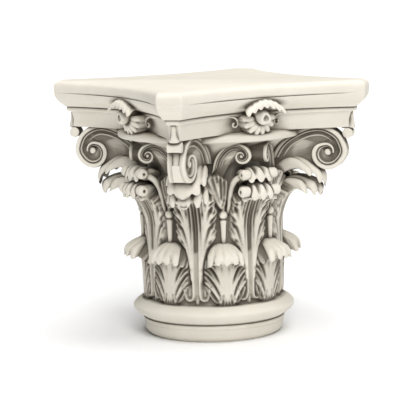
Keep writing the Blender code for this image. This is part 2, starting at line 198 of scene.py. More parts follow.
@dataclass(frozen=True)
class Finger:
    """A rounded finger of a leaf, drawn on the leaf laid flat, in millimetres.

    Args:
        root, bend, tip: the curve that its crest follows, across and up the leaf.
        root_half, tip_half: half its width at each end.
        rise: how high its crest stands, as a share of the leaf's relief.
    """

    root: Point
    bend: Point
    tip: Point
    root_half: float
    tip_half: float
    rise: float = 1.0

    def mirrored(self) -> "Finger":
        """Gives the same finger on the other side of the midrib."""
        flip = [(-x, y) for x, y in (self.root, self.bend, self.tip)]
        return Finger(flip[0], flip[1], flip[2], self.root_half, self.tip_half, self.rise)

    def nearness(self, across: np.ndarray, along: np.ndarray) -> np.ndarray:
        """Measures distance from the crest in half widths, so that 1 is the finger's edge.

        Args:
            across: distances from the midrib, in millimetres.
            along: distances up the leaf, in millimetres.

        Returns:
            The distance at each point.
        """
        steps = 12
        share = np.linspace(0.0, 1.0, steps + 1)
        crest = [(1 - share) ** 2 * a + 2 * share * (1 - share) * b + share ** 2 * c
                 for a, b, c in zip(self.root, self.bend, self.tip)]
        half = self.root_half + (self.tip_half - self.root_half) * share
        best = np.full(across.shape, 1e9)
        for i in range(steps):
            dx, dy = crest[0][i + 1] - crest[0][i], crest[1][i + 1] - crest[1][i]
            foot = ((across - crest[0][i]) * dx + (along - crest[1][i]) * dy) / (dx * dx + dy * dy)
            foot = np.clip(foot, 0.0, 1.0)
            gap = np.hypot(across - crest[0][i] - foot * dx, along - crest[1][i] - foot * dy)
            best = np.minimum(best, gap / (half[i] + (half[i + 1] - half[i]) * foot))
        return best


def both_sides(fingers: Sequence[Finger]) -> list[Finger]:
    """Gives fingers together with their mirror images."""
    return [*fingers, *(finger.mirrored() for finger in fingers)]


@dataclass
class CarvedLeaf:
    """A leaf cut from a thick sheet: laid flat as fingers, then bent over a profile.

    Args:
        name: the piece's name.
        fingers: the fingers that make its outline and its flutes.
        stations: rows from foot to tip, in millimetres: distance along the leaf, front face
            (out from the axis, height), back face (out, height), how much of the thickness a
            groove cuts from the front and from the back, how fast the sides drop and tuck in,
            and how high the sheet lies between its fingers, as a share of the relief.
        foot: height of the leaf's foot.
        half: half the widest part, in millimetres.
        lean: how far the foot sits to one side of the tip, in millimetres.
        lean_end: how far up the leaf the lean has faded out, in millimetres.
        spacing: distance between the mesh's lines, in millimetres.
        web: how far past a finger's edge the sheet goes on, in half widths.
        crest_power: how square a finger's crest is.
        outline_share: share of the sheet's height at which its outline is cut.
        floor_share: share of the sheet's height below which no groove goes.
        deepest: how far a groove goes at most, as a share of its full cut.
    """

    name: str
    fingers: Sequence[Finger]
    stations: Sequence[Sequence[float]]
    foot: float
    half: float
    lean: float = 0.0
    lean_end: float = 90.0
    spacing: float = 1.36
    web: float = 0.22
    crest_power: float = 2.5
    outline_share: float = 0.4
    floor_share: float = 0.7
    deepest: float = 1.3

    def height(self, across: np.ndarray, along: np.ndarray, plate: np.ndarray) -> np.ndarray:
        """Height of the carving from 0, off the leaf, to 1 on the highest crest.

        Args:
            across: distances from the midrib, in millimetres.
            along: distances up the leaf, in millimetres.
            plate: how high the sheet lies between its fingers.

        Returns:
            The height at each point.
        """
        top = np.zeros_like(across)
        for finger in self.fingers:
            near = finger.nearness(across, along)
            crest = np.clip(1.0 - near ** self.crest_power, 0.0, 1.0)
            tube = plate + (1.0 - plate) * crest
            skirt = plate * np.clip((1.0 + self.web - near) / self.web, 0.0, 1.0)
            top = np.maximum(top, finger.rise * np.where(near < 1.0, tube, skirt))
        return top

    def carve(self, first_angle: float, copies: int = 4) -> Carving:
        """Cuts the sheet to its outline, carves both faces and bends it.

        Args:
            first_angle: where the first copy faces.
            copies: how many copies stand round the axis.

        Returns:
            The closed leaf.
        """
        dense = smooth_path(self.stations, 12)
        first, last = dense[0, 0], dense[-1, 0]
        along = np.linspace(first, last, int((last - first) / self.spacing) + 1)
        across = np.linspace(-self.half, self.half, int(2 * self.half / self.spacing) + 1)
        flat_across, flat_along = np.meshgrid(across, along)
        column = [np.interp(along, dense[:, 0], dense[:, k])[:, None] for k in range(1, 10)]
        front_out, front_up, back_out, back_up, front_cut, back_cut, droop, tuck, plate = column
        top = self.height(flat_across, flat_along, plate)
        thick = np.hypot(front_out - back_out, front_up - back_up)
        toward = ((front_out - back_out) / thick, (front_up - back_up) / thick)
        covered = gaps_closed(top > self.outline_share * plate)
        top = softened(np.maximum(top, self.floor_share * plate))
        low = np.clip((1.0 - top) / (1.0 - plate), 0.0, self.deepest)
        sides = flat_across ** 2
        shift = self.lean * np.clip(1.0 - flat_along / self.lean_end, 0.0, 1.0)
        reach = np.maximum(front_out, BELL_RADIUS / MM)
        angle = (flat_across + shift) / reach
        faces_of = []
        for out, up, cut, way in ((front_out, front_up, front_cut, -1.0),
                                  (back_out, back_up, back_cut, 1.0)):
            r = out + way * cut * thick * low * toward[0] - tuck * sides
            z = up + way * cut * thick * low * toward[1] - droop * sides
            faces_of.append(about_axis(r * MM, angle, z * MM + self.foot))
        points, faces = stitched(faces_of[0], faces_of[1], covered)
        return Carving(self.name, points, faces, first_angle, copies, math.radians(70))


def softened(values: np.ndarray) -> np.ndarray:
    """Blurs a grid by one cell, as a rubber mould rounds what it takes.

    Args:
        values: the grid to blur.

    Returns:
        The blurred grid, of the same size.
    """
    beside, middle = 0.17, 0.66
    wide = np.pad(values, 1, mode="edge")
    rows = beside * wide[:-2] + middle * wide[1:-1] + beside * wide[2:]
    return beside * rows[:, :-2] + middle * rows[:, 1:-1] + beside * rows[:, 2:]


def gaps_closed(covered: np.ndarray) -> np.ndarray:
    """Closes the slits, up to two cells wide, that lie between neighbouring fingers.

    Args:
        covered: which grid points lie on the form.

    Returns:
        The same grid with its slits filled.
    """
    wide = np.pad(covered, 2)
    grown = np.zeros_like(wide)
    moves = [(i, j) for i in (-1, 0, 1) for j in (-1, 0, 1)]
    for i, j in moves:
        grown |= np.roll(wide, (i, j), (0, 1))
    kept = np.ones_like(wide)
    for i, j in moves:
        kept &= np.roll(grown, (i, j), (0, 1))
    return kept[2:-2, 2:-2] | covered


def stitched(front: np.ndarray, back: np.ndarray,
             covered: np.ndarray) -> tuple[np.ndarray, list[tuple[int, ...]]]:
    """Closes the covered cells of two matching grids into one shell with a smooth edge.

    Args:
        front: the front face's grid of points.
        back: the back face's grid of points.
        covered: which grid points lie on the form.

    Returns:
        The shell's points and faces.
    """
    rows, columns = covered.shape
    cell = covered[:-1, :-1] & covered[1:, :-1] & covered[:-1, 1:] & covered[1:, 1:]
    cell = widest_island(cell)
    number = np.arange(rows * columns).reshape(rows, columns)
    shift = rows * columns
    faces: list[tuple[int, ...]] = []
    rims: list[tuple[int, int]] = []
    for i, j in zip(*np.nonzero(cell)):
        a, b = int(number[i, j]), int(number[i, j + 1])
        c, d = int(number[i + 1, j + 1]), int(number[i + 1, j])
        faces.append((a, b, c, d))
        faces.append((d + shift, c + shift, b + shift, a + shift))
        if i == 0 or not cell[i - 1, j]:
            rims.append((a, b))
        if j == columns - 2 or not cell[i, j + 1]:
            rims.append((b, c))
        if i == rows - 2 or not cell[i + 1, j]:
            rims.append((c, d))
        if j == 0 or not cell[i, j - 1]:
            rims.append((d, a))
    faces += [(b, a, a + shift, b + shift) for a, b in rims]
    points = np.vstack([front.reshape(-1, 3), back.reshape(-1, 3)])
    ends = np.array(rims)
    for _ in range(4):
        for offset in (0, shift):
            total = np.zeros_like(points)
            count = np.zeros(len(points))
            np.add.at(total, ends[:, 0] + offset, points[ends[:, 1] + offset])
            np.add.at(total, ends[:, 1] + offset, points[ends[:, 0] + offset])
            np.add.at(count, ends[:, 0] + offset, 1)
            np.add.at(count, ends[:, 1] + offset, 1)
            rim = count > 0
            points[rim] = 0.5 * points[rim] + 0.5 * total[rim] / count[rim][:, None]
    used = np.unique(np.array(faces))
    renumber = np.zeros(len(points), int)
    renumber[used] = np.arange(len(used))
    tidy = [tuple(int(renumber[v]) for v in face) for face in faces]
    return points[used], outward(points[used], tidy)


def widest_island(cell: np.ndarray) -> np.ndarray:
    """Keeps the largest group of cells that hang together by their sides.

    Args:
        cell: which cells are filled.

    Returns:
        The same grid without its smaller islands and without cells that touch by a corner.
    """
    label = np.where(cell, np.arange(1, cell.size + 1).reshape(cell.shape), 0)
    while True:
        grown = label.copy()
        for axis in (0, 1):
            for step in (1, -1):
                near = np.roll(label, step, axis)
                edge = [slice(None), slice(None)]
                edge[axis] = 0 if step == 1 else -1
                near[tuple(edge)] = 0
                grown = np.maximum(grown, near)
        grown = np.where(cell, grown, 0)
        if (grown == label).all():
            break
        label = grown
    names, counts = np.unique(label[label > 0], return_counts=True)
    kept = label == names[np.argmax(counts)]
    a, b, c, d = kept[:-1, :-1], kept[:-1, 1:], kept[1:, :-1], kept[1:, 1:]
    kept[:-1, 1:] |= a & d & ~b & ~c
    kept[:-1, :-1] |= b & c & ~a & ~d
    return kept


@dataclass
class TurnedBody:
    """Base mouldings, bell and lip, turned about the axis."""

    foot_radius: float = 0.119
    drum_radius: float = 0.127
    drum_height: float = 0.0235
    fillet_radius: float = 0.129
    fillet_height: float = 0.0095
    torus_radius: float = 0.147
    flare_height: float = 0.060
    lip_radius: float = 0.168
    lip_height: float = 0.015
    foot_overlap: float = 0.0065
    sides: int = 180
    torus_shape: Sequence[Point] = ((0.03, 0.03), (0.20, 0.09), (0.52, 0.20), (0.84, 0.36),
                                    (0.985, 0.50), (0.98, 0.63), (0.80, 0.76), (0.50, 0.89),
                                    (0.16, 1.00))

    def profile(self) -> np.ndarray:
        """Works out the outline from the underside to the lip.

        Returns:
            The outline's points, as radius and height.
        """
        drum = smooth_path([(self.foot_radius - 0.0025, 0.0), (self.foot_radius, 0.0022),
                            (0.5 * (self.foot_radius + self.drum_radius) + 0.0012,
                             0.28 * self.drum_height),
                            (self.drum_radius, 0.66 * self.drum_height),
                            (self.drum_radius + 0.0005, self.drum_height - 0.0022),
                            (self.drum_radius + 0.0004, self.drum_height)], 4)
        fillet_top = self.drum_height + self.fillet_height
        fillet = smooth_path([(self.fillet_radius - 0.0009, self.drum_height + 0.0008),
                              (self.fillet_radius, self.drum_height + 0.0024),
                              (self.fillet_radius + 0.0002, fillet_top - 0.0022),
                              (self.fillet_radius - 0.0012, fillet_top - 0.0004)], 4)
        proud = self.torus_radius - self.fillet_radius
        rise = BASE_HEIGHT - self.foot_overlap - fillet_top
        torus = smooth_path([(self.fillet_radius + share * proud, fillet_top + level * rise)
                             for share, level in self.torus_shape], 5)
        scotia = smooth_path([(BELL_RADIUS + 0.0075, fillet_top + rise + 0.0006),
                              (BELL_RADIUS + 0.0025, fillet_top + rise + 0.0030),
                              (BELL_RADIUS, BASE_HEIGHT + 0.012)], 4)
        flare_foot = SLAB_UNDERSIDE - self.lip_height - self.flare_height
        rise = np.radians(np.linspace(0, 84, 14))
        flare = np.stack([BELL_RADIUS + (self.lip_radius - 0.005 - BELL_RADIUS) * (1 - np.cos(rise)),
                          flare_foot + self.flare_height * np.sin(rise)], axis=-1)
        lip_foot = SLAB_UNDERSIDE - self.lip_height
        lip = smooth_path([(self.lip_radius - 0.0035, lip_foot + 0.0006),
                           (self.lip_radius - 0.0002, lip_foot + 0.0030),
                           (self.lip_radius, SLAB_UNDERSIDE - 0.0050),
                           (self.lip_radius - 0.0035, SLAB_UNDERSIDE - 0.0008),
                           (self.lip_radius - 0.010, SLAB_UNDERSIDE + 0.0012)], 4)
        return np.vstack([drum, fillet, torus, scotia, flare, lip])

    def carve(self) -> Carving:
        """Turns the outline into a closed body.

        Returns:
            The base, bell and lip.
        """
        turn = np.linspace(0, 2 * math.pi, self.sides, endpoint=False)
        outline = self.profile()
        rings = about_axis(outline[:, :1], turn[None, :], outline[:, 1:] + 0 * turn[None, :])
        return lofted("base_and_bell", rings, copies=1, crease=math.radians(34))


@dataclass
class Slab:
    """Hollow-sided moulded slab with canted horns."""

    horn_reach: float = 0.289
    horn_width: float = 0.045
    side_reach: float = 0.1845
    side_steps: int = 44
    corner_radius: float = 0.0022
    runs: Sequence[Sequence[Sequence[float]]] = (
        ((0.000, 0.0100, 0.0038, 0.0095), (0.018, 0.0060, 0.0022, 0.0056),
         (0.060, 0.0018, 0.0008, 0.0016), (0.130, 0.0000, 0.0000, 0.0000),
         (0.236, 0.0004, 0.0002, 0.0004)),
        ((0.252, 0.0008, 0.0004, 0.0024), (0.268, 0.0006, 0.0004, 0.0008),
         (0.340, 0.0022, 0.0010, 0.0034), (0.430, 0.0072, 0.0026, 0.0108),
         (0.510, 0.0150, 0.0050, 0.0232), (0.556, 0.0195, 0.0062, 0.0310)),
        ((0.564, 0.0212, 0.0112, 0.0330), (0.590, 0.0204, 0.0112, 0.0320),
         (0.642, 0.0206, 0.0114, 0.0325), (0.656, 0.0222, 0.0120, 0.0342)),
        ((0.672, 0.0280, 0.0125, 0.0395), (0.720, 0.0302, 0.0129, 0.0420),
         (0.840, 0.0324, 0.0131, 0.0442), (0.940, 0.0318, 0.0129, 0.0438),
         (1.000, 0.0298, 0.0125, 0.0420)),
    )

    def ring(self, share: float, horn: float, loss: float, side: float) -> np.ndarray:
        """Works out the outline at one level.

        Args:
            share: depth below the top, as a share of the thickness.
            horn: how far the horns draw in.
            loss: how much of a horn's half width goes.
            side: how far the middle of a side draws in.

        Returns:
            The outline's points.
        """
        reach, half_cant = self.horn_reach - horn, 0.5 * self.horn_width - loss
        middle = self.side_reach - side
        half_side = (reach - half_cant) / math.sqrt(2)
        sag = (reach + half_cant) / math.sqrt(2) - middle
        radius = (half_side ** 2 + sag ** 2) / (2 * sag)
        turn = math.asin(half_side / radius) * np.linspace(-1, 1, self.side_steps + 1)
        line = np.stack([middle + radius * (1 - np.cos(turn)), radius * np.sin(turn)], axis=-1)
        quarters = []
        for k in range(4):
            cos, sin = math.cos(k * QUARTER_TURN), math.sin(k * QUARTER_TURN)
            quarters.append(line @ np.array([[cos, sin], [-sin, cos]]))
        outline = []
        for k in range(4):
            here, following = quarters[k], quarters[(k + 1) % 4]
            cant = following[0] - here[-1]
            blend = min(self.corner_radius, 0.4 * float(np.linalg.norm(cant)))
            cant = cant / np.linalg.norm(cant)
            leaving = (here[-1] - here[-2]) / np.linalg.norm(here[-1] - here[-2])
            arriving = (following[1] - following[0]) / np.linalg.norm(following[1] - following[0])
            outline.append(here[1:-1])
            for corner, before, after in ((here[-1], leaving, cant), (following[0], cant, arriving)):
                for s in np.linspace(0, 1, 6):
                    outline.append(((1 - s) ** 2 * (corner - before * blend)
                                    + 2 * s * (1 - s) * corner
                                    + s ** 2 * (corner + after * blend))[None, :])
        flat = np.vstack(outline)
        level = np.full((len(flat), 1), HEIGHT - share * SLAB_THICKNESS)
        return np.hstack([flat, level])

    def carve(self) -> Carving:
        """Stacks the outlines into a closed slab.

        Returns:
            The slab.
        """
        rows = np.vstack([smooth_path(run, 4) for run in self.runs])
        return lofted("slab", np.stack([self.ring(*row) for row in rows]), copies=1,
                      crease=math.radians(38))


# Stations are (along, front out, front up, back out, back up, share of the thickness cut from the
# front and from the back at a groove, droop, tuck, plate), with lengths in millimetres
TRUNK_STATIONS = (
    (-9, 128.5, -9, 112, -9, 0.37, 0, 0, 0, 0.24), (50, 129.5, 50, 112, 50, 0.37, 0, 0, 0, 0.24),
    (100, 128, 100, 112, 100, 0.37, 0, 0, 0, 0.24), (125, 128, 125, 111, 125, 0.37, 0, 0, 0, 0.24),
)
LOWER_STATIONS = (
    (-9, 128.5, -9, 112, -9, 0.37, 0, 0, 0, 0.24), (30, 129.5, 30, 112, 30, 0.37, 0, 0, 0, 0.24),
    (50, 130.5, 50, 112, 50, 0.37, 0, 0, 0, 0.24), (66, 132, 64, 110, 76, 0.30, 0, 0.002, 0, 0.30),
    (80, 138.5, 72, 112, 103, 0.10, 0.02, 0.007, 0.001, 0.60),
    (96, 148, 77, 127, 108, 0.10, 0.03, 0.011, 0.002, 0.70),
    (112, 156, 77.5, 143, 103, 0.16, 0.08, 0.009, 0.003, 0.60),
    (125, 161, 75, 156, 95, 0.28, 0.22, 0.005, 0.003, 0.45),
    (136, 162.5, 72, 163, 86, 0.40, 0.40, 0.003, 0.003, 0.35),
    (146, 161.5, 70, 165, 76, 0.47, 0.47, 0.002, 0.003, 0.30),
)
FACE_STATIONS = (
    *TRUNK_STATIONS,
    (140, 128.5, 140, 111, 140, 0.37, 0, 0, 0, 0.24), (157, 132, 156, 112, 160, 0.34, 0, 0, 0, 0.24),
    (172, 138, 169, 114, 176, 0.28, 0, 0, 0, 0.26),
    (186, 144.5, 181, 118, 190, 0.22, 0.03, 0.002, 0, 0.30),
    (200, 153, 188, 126, 204, 0.15, 0.06, 0.005, 0.001, 0.60),
    (213, 161, 190.5, 137, 214, 0.15, 0.06, 0.008, 0.002, 0.65),
    (227, 168, 190.5, 153, 217, 0.22, 0.12, 0.007, 0.003, 0.55),
    (241, 173, 188.5, 168, 213, 0.36, 0.36, 0.004, 0.003, 0.42),
    (253, 175, 186, 177, 202, 0.45, 0.45, 0.002, 0.003, 0.32),
    (264, 174.5, 184, 179, 190, 0.48, 0.48, 0.002, 0.003, 0.30),
)
CORNER_STATIONS = (
    *TRUNK_STATIONS,
    (145, 131, 145, 111, 146, 0.37, 0, 0, 0, 0.24), (163, 136, 161.5, 112, 166, 0.30, 0, 0, 0, 0.26),
    (180, 144, 177, 117, 184, 0.24, 0, 0, 0, 0.30),
    (196, 155, 188, 125, 200, 0.15, 0.05, 0.002, 0.001, 0.50),
    (210, 167, 195, 138, 211, 0.16, 0.08, 0.004, 0.003, 0.70),
    (225, 180, 197, 157, 218, 0.20, 0.16, 0.006, 0.004, 0.70),
    (241, 192, 192.5, 177, 217, 0.32, 0.30, 0.005, 0.005, 0.50),
    (256, 199, 183, 197, 209, 0.42, 0.40, 0.003, 0.006, 0.36),
    (268, 201, 176, 209, 197, 0.47, 0.47, 0.002, 0.006, 0.30),
    (280, 199.5, 170.5, 206, 180, 0.48, 0.48, 0.002, 0.006, 0.30),
)
INNER_STATIONS = (
    (0, 120, 262, 110, 268, 0.20, 0, 0, 0, 0.4), (15, 130, 280, 111, 290, 0.20, 0.10, 0, 0, 0.4),
    (28, 142, 291, 118, 304, 0.20, 0.15, 0.004, 0.002, 0.5),
    (40, 153, 296, 131, 312, 0.22, 0.20, 0.006, 0.003, 0.5),
    (52, 162, 296, 147, 316, 0.30, 0.30, 0.005, 0.003, 0.4),
    (64, 168, 292.5, 161, 314, 0.42, 0.42, 0.003, 0.003, 0.3),
    (75, 169.5, 289, 169, 305, 0.46, 0.46, 0.002, 0.003, 0.3),
    (84, 168, 287, 170, 294, 0.48, 0.48, 0.002, 0.003, 0.3),
)
BRACE_STATIONS = (
    (0, 124, 270, 110, 280, 0.20, 0, 0, 0, 0.30), (14, 136, 289, 122, 303, 0.20, 0.15, 0, 0, 0.30),
    (28, 150, 300, 137, 317, 0.24, 0.24, 0.002, 0.001, 0.34),
    (44, 167, 306, 156, 326, 0.26, 0.26, 0.004, 0.002, 0.38),
    (58, 183, 305.5, 174, 324.5, 0.28, 0.28, 0.006, 0.004, 0.42),
    (72, 197, 300, 190, 316.5, 0.30, 0.30, 0.007, 0.005, 0.45),
    (84, 206, 291, 205, 305.5, 0.32, 0.32, 0.006, 0.006, 0.45),
    (95, 209.5, 281, 212, 293.5, 0.38, 0.38, 0.004, 0.006, 0.42),
    (106, 209.5, 271, 214, 281, 0.45, 0.45, 0.003, 0.006, 0.36),
    (116, 208, 262, 213, 268, 0.48, 0.48, 0.002, 0.006, 0.33),
)
CUP_STATIONS = (
    (0, 132, 241, 112, 241, 0.26, 0, 0, 0, 0.30), (20, 136, 260, 112, 261, 0.24, 0, 0, 0, 0.30),
    (40, 142, 279, 113, 281, 0.22, 0, 0, 0, 0.30), (56, 146, 294, 116, 297, 0.22, 0, 0, 0, 0.30),
    (70, 150, 306, 122, 310, 0.22, 0, 0, 0, 0.30),
)

LOWER_FINGERS = (
    Finger((6.6, -10), (0.8, 30), (6.2, 88), 2.9, 3.3, 0.95),
    Finger((13.4, -10), (3.2, 34), (13, 86), 2.7, 3.5, 0.92),
    Finger((4, 30), (12, 52), (20, 84), 2.0, 3.6, 0.96),
    Finger((6.5, 16), (11, 52), (30, 80), 2.0, 4.2),
    Finger((10, 22), (17, 46), (35.5, 69), 1.8, 3.3),
    Finger((10, 8), (15, 36), (36.5, 58), 2.2, 4.0),
    Finger((14, 8), (22, 30), (38, 47.5), 2.0, 3.0),
    Finger((14, 0), (21, 20), (37, 37), 2.3, 3.6),
    Finger((18, -1), (29, 8), (35, 25.5), 2.4, 3.2),
)
LOWER_LOBES = (
    Finger((4, 78), (13, 104), (15.5, 130), 6.0, 6.0),
    Finger((10, 80), (22, 98), (29, 119), 5.0, 5.6),
)
TRUNK_FINGERS = (
    Finger((6.0, 16), (6.1, 70), (6.3, 206), 3.7, 3.1),
    Finger((6.0, 18), (6.3, 3.6), (14, 3.6), 3.5, 2.7, 0.96),
    Finger((14, 3.6), (21.5, 3.8), (23, 16), 2.7, 2.5, 0.96),
    Finger((23, 16), (24.2, 25), (29.5, 33), 2.5, 2.7, 0.96),
    Finger((22.6, 18), (21.5, 27), (15.8, 29), 2.0, 2.6, 0.98),
    Finger((15, 12), (15, 16), (16, 22), 3.4, 3.0, 0.45),
)
UPPER_FINGERS = (
    Finger((9.6, 62), (12, 118), (13, 206), 1.4, 3.5),
    Finger((12.8, 108), (17, 150), (20.8, 206), 1.4, 3.7),
    Finger((9.6, 40), (12, 92), (29.5, 130), 1.5, 5.0),
    Finger((18, 96), (29, 108), (34.5, 118), 1.6, 2.7),
    Finger((22, 108), (32, 119), (37, 129), 1.6, 2.7),
    Finger((27, 124), (33.5, 132), (35.5, 141.5), 2.4, 2.6),
    Finger((10.4, 72), (14, 124), (30.5, 160), 1.6, 5.2),
    Finger((22, 134), (33, 145), (38.5, 154), 1.6, 2.8),
    Finger((25, 146), (35, 156), (40, 165.5), 1.6, 2.8),
    Finger((29, 156), (35.5, 166), (37, 176), 2.4, 2.6),
    Finger((12, 96), (17.5, 150), (29.5, 191), 1.8, 5.4),
    Finger((24, 168), (34, 178), (39.5, 187), 1.6, 2.9),
    Finger((27, 180), (36, 190), (39.5, 199), 1.6, 2.9),
)
FACE_LOBES = (
    Finger((4, 196), (14, 222), (16.5, 249), 5.0, 6.6),
    Finger((12, 194), (27, 212), (32, 238), 5.0, 6.2),
)
CORNER_LOBES = (
    Finger((10, 200), (20, 232), (22.5, 257), 6.0, 6.6),
    Finger((17, 198), (31, 222), (35.5, 243), 5.0, 5.0),
)
INNER_LOBES = (
    Finger((4, 8), (15, 40), (18.5, 71), 4.0, 7.2),
    Finger((8, 4), (24, 26), (28, 50), 3.0, 5.6),
)
BRACE_LOBES = (
    Finger((15, 0), (20, 50), (23, 95), 5.0, 7.2),
    Finger((20, 4), (30, 44), (34, 74), 4.0, 4.6),
)
CUP_FINGERS = (
    Finger((-3, 2), (-12, 14), (-37, 50), 2.8, 3.4),
    Finger((-5, 6), (-16, 26), (-27, 56), 3.0, 6.5, 0.62),
    Finger((-3, 8), (-8, 24), (-17, 60), 2.2, 3.2, 0.95),
    Finger((-3, 8), (1, 22), (-3, 58), 2.0, 2.6, 0.95),
    Finger((-1, 1), (6.5, 12), (4.5, 52), 2.6, 3.0),
    Finger((-5, 24), (-8, 36), (-10, 63), 1.4, 3.0, 0.8),
)


@dataclass
class Foliage:
    """Both rows of leaves, the inner leaves, the leaves under the scrolls and the stalks' cups."""

    body_lean: float = 5.5
    lower_half: float = 44.0
    upper_half: float = 45.0
    inner_half: float = 36.0
    brace_half: float = 40.0
    cup_half: float = 42.0
    face_curl: Sequence[float] = (0.1625, 0.0305, 0.2740)
    face_curl_size: Point = (0.0098, 0.0100)
    inner_curl: Sequence[float] = (0.1600, 0.0275, 0.3035)
    inner_curl_size: Point = (0.0092, 0.0090)

    def lower_leaves(self) -> list[Carving]:
        """Eight low leaves, each with its foot drawn towards the nearer side of the slab.

        Returns:
            The leaves that lean one way and those that lean the other.
        """
        fingers = [Finger((0, -10), (0, 40), (0, 88), 3.1, 3.3, 0.92),
                   Finger((0, 78), (0, 100), (0, 134), 7.0, 6.2),
                   *both_sides(LOWER_FINGERS), *both_sides(LOWER_LOBES)]
        leaf = CarvedLeaf("lower_leaves_left", fingers, LOWER_STATIONS, BASE_HEIGHT,
                          self.lower_half, lean=self.body_lean)
        left = leaf.carve(-HALF_GAP - EIGHTH_TURN * 2)
        return [left, left.mirrored("lower_leaves_right", HALF_GAP)]

    def face_leaves(self) -> Carving:
        """Four upper leaves that stand in the middle of each side, their outer lobes curled.

        Returns:
            One leaf, with its four places.
        """
        fingers = [Finger((0, -10), (0, 60), (0, 120), 3.2, 2.4, 0.40),
                   Finger((0, 92), (0, 150), (0, 206), 1.2, 3.4, 0.95),
                   Finger((0, 192), (0, 220), (0, 252), 6.0, 6.8),
                   *both_sides(TRUNK_FINGERS), *both_sides(UPPER_FINGERS), *both_sides(FACE_LOBES)]
        leaf = CarvedLeaf("face_leaves", fingers, FACE_STATIONS, BASE_HEIGHT,
                          self.upper_half).carve(0.0)
        out, aside, up = self.face_curl
        for side in Side:
            leaf.joined(curl((out, side.value * aside, up), *self.face_curl_size))
        return leaf

    def corner_leaves(self) -> Carving:
        """Four taller leaves that stand under the horns.

        Returns:
            One leaf, with its four places.
        """
        fingers = [Finger((0, -10), (0, 60), (0, 120), 3.2, 2.4, 0.40),
                   Finger((0, 92), (0, 150), (0, 210), 1.2, 3.4, 0.95),
                   Finger((0, 198), (0, 230), (0, 261), 10.0, 11.5),
                   *both_sides(TRUNK_FINGERS), *both_sides(UPPER_FINGERS),
                   *both_sides(CORNER_LOBES)]
        return CarvedLeaf("corner_leaves", fingers, CORNER_STATIONS, BASE_HEIGHT,
                          self.upper_half).carve(EIGHTH_TURN)

    def inner_leaves(self) -> Carving:
        """Four small leaves that curl out over the face leaves, on straps from the stalks.

        Returns:
            One leaf with its straps and curls, and its four places.
        """
        fingers = [Finger((0, 4), (0, 40), (0, 73), 4.0, 7.6), *both_sides(INNER_LOBES)]
        leaf = CarvedLeaf("inner_leaves", fingers, INNER_STATIONS, 0.0,
                          self.inner_half).carve(0.0)
        foot = EIGHTH_TURN - HALF_GAP
        out, aside, up = self.inner_curl
        for side in Side:
            strap = [(foot - 0.060, 0.1270, 0.2330), (foot - 0.082, 0.1310, 0.2480),
                     (foot - 0.088, 0.1340, 0.2640), (foot - 0.100, 0.1380, 0.2790),
                     (foot - 0.140, 0.1460, 0.2930), (foot - 0.200, 0.1570, 0.3010),
                     (foot - 0.245, 0.1640, 0.3030)]
            path = [(r * math.cos(a), side.value * r * math.sin(a), z) for a, r, z in strap]
            halves = [(0.0030, 0.0030), (0.0040, 0.0040), (0.0048, 0.0048), (0.0052, 0.0050),
                      (0.0052, 0.0050), (0.0048, 0.0048), (0.0040, 0.0040)]
            leaf.joined(swept_tube("strap", path, halves))
            leaf.joined(curl((out, side.value * aside, up), *self.inner_curl_size))
        return leaf

    def brace_leaves(self) -> Carving:
        """Four broad leaves that arch out under the corner scrolls."""
        fingers = [Finger((0, 0), (0, 50), (0, 98), 9.0, 14.0), *both_sides(BRACE_LOBES)]
        leaf = CarvedLeaf("brace_leaves", fingers, BRACE_STATIONS, 0.0, self.brace_half)
        return leaf.carve(EIGHTH_TURN)

    def cups(self) -> list[Carving]:
        """Eight pointed cups that the scrolls spring from, each leaning towards its corner.

        Returns:
            The cups that lean one way and those that lean the other.
        """
        leaf = CarvedLeaf("cups_left", CUP_FINGERS, CUP_STATIONS, 0.0, self.cup_half)
        cup = leaf.carve(EIGHTH_TURN + HALF_GAP)
        return [cup, cup.mirrored("cups_right", HALF_GAP)]


def swept_tube(name: str, path: Sequence[Sequence[float]], halves: Sequence[Point],
               steps: int = 6, sides: int = 14) -> Carving:
    """Sweeps an oval section along a path.

    Args:
        name: the piece's name.
        path: points that the middle follows.
        halves: half the section's width across and away from the axis, at each point.
        steps: how many pieces each span is cut into.
        sides: how many sides the section has.

    Returns:
        The closed tube.
    """
    rows = smooth_path([(*point, *half) for point, half in zip(path, halves)], steps)
    middle, half = rows[:, :3], rows[:, 3:]
    ahead = np.gradient(middle, axis=0)
    ahead /= np.linalg.norm(ahead, axis=1)[:, None]
    away = middle * np.array([1.0, 1.0, 0.0])
    away -= ahead * np.sum(away * ahead, axis=1)[:, None]
    away /= np.linalg.norm(away, axis=1)[:, None]
    beside = np.cross(ahead, away)
    turn = np.linspace(0, 2 * math.pi, sides, endpoint=False)
    rings = (middle[:, None] + beside[:, None] * (half[:, :1] * np.cos(turn))[..., None]
             + away[:, None] * (half[:, 1:] * np.sin(turn))[..., None])
    return lofted(name, rings)


def curl(middle: tuple[float, float, float], radius: float, half_length: float) -> Carving:
    """Rolled lobe seen from its end: a short sideways roll with a hollow eye in both ends.

    Args:
        middle: the roll's middle, on a leaf that faces +X.
        radius: the roll's radius.
        half_length: half its length.

    Returns:
        The closed roll.
    """
    end = [(0.62, 0.03), (0.66, 0.13), (0.84, 0.24), (0.97, 0.38), (1.0, 0.54), (0.95, 0.70),
           (0.80, 0.86), (0.55, 0.97), (0.28, 1.0)]
    rows = smooth_path([*((-x, r) for x, r in end), *reversed(end)], 3)
    turn = np.linspace(0, 2 * math.pi, 28, endpoint=False)
    rings = np.stack([middle[0] + radius * rows[:, 1:] * np.cos(turn),
                      middle[1] + half_length * rows[:, :1] + 0 * turn,
                      middle[2] + radius * rows[:, 1:] * np.sin(turn)], axis=-1)
    return lofted("curl", rings)


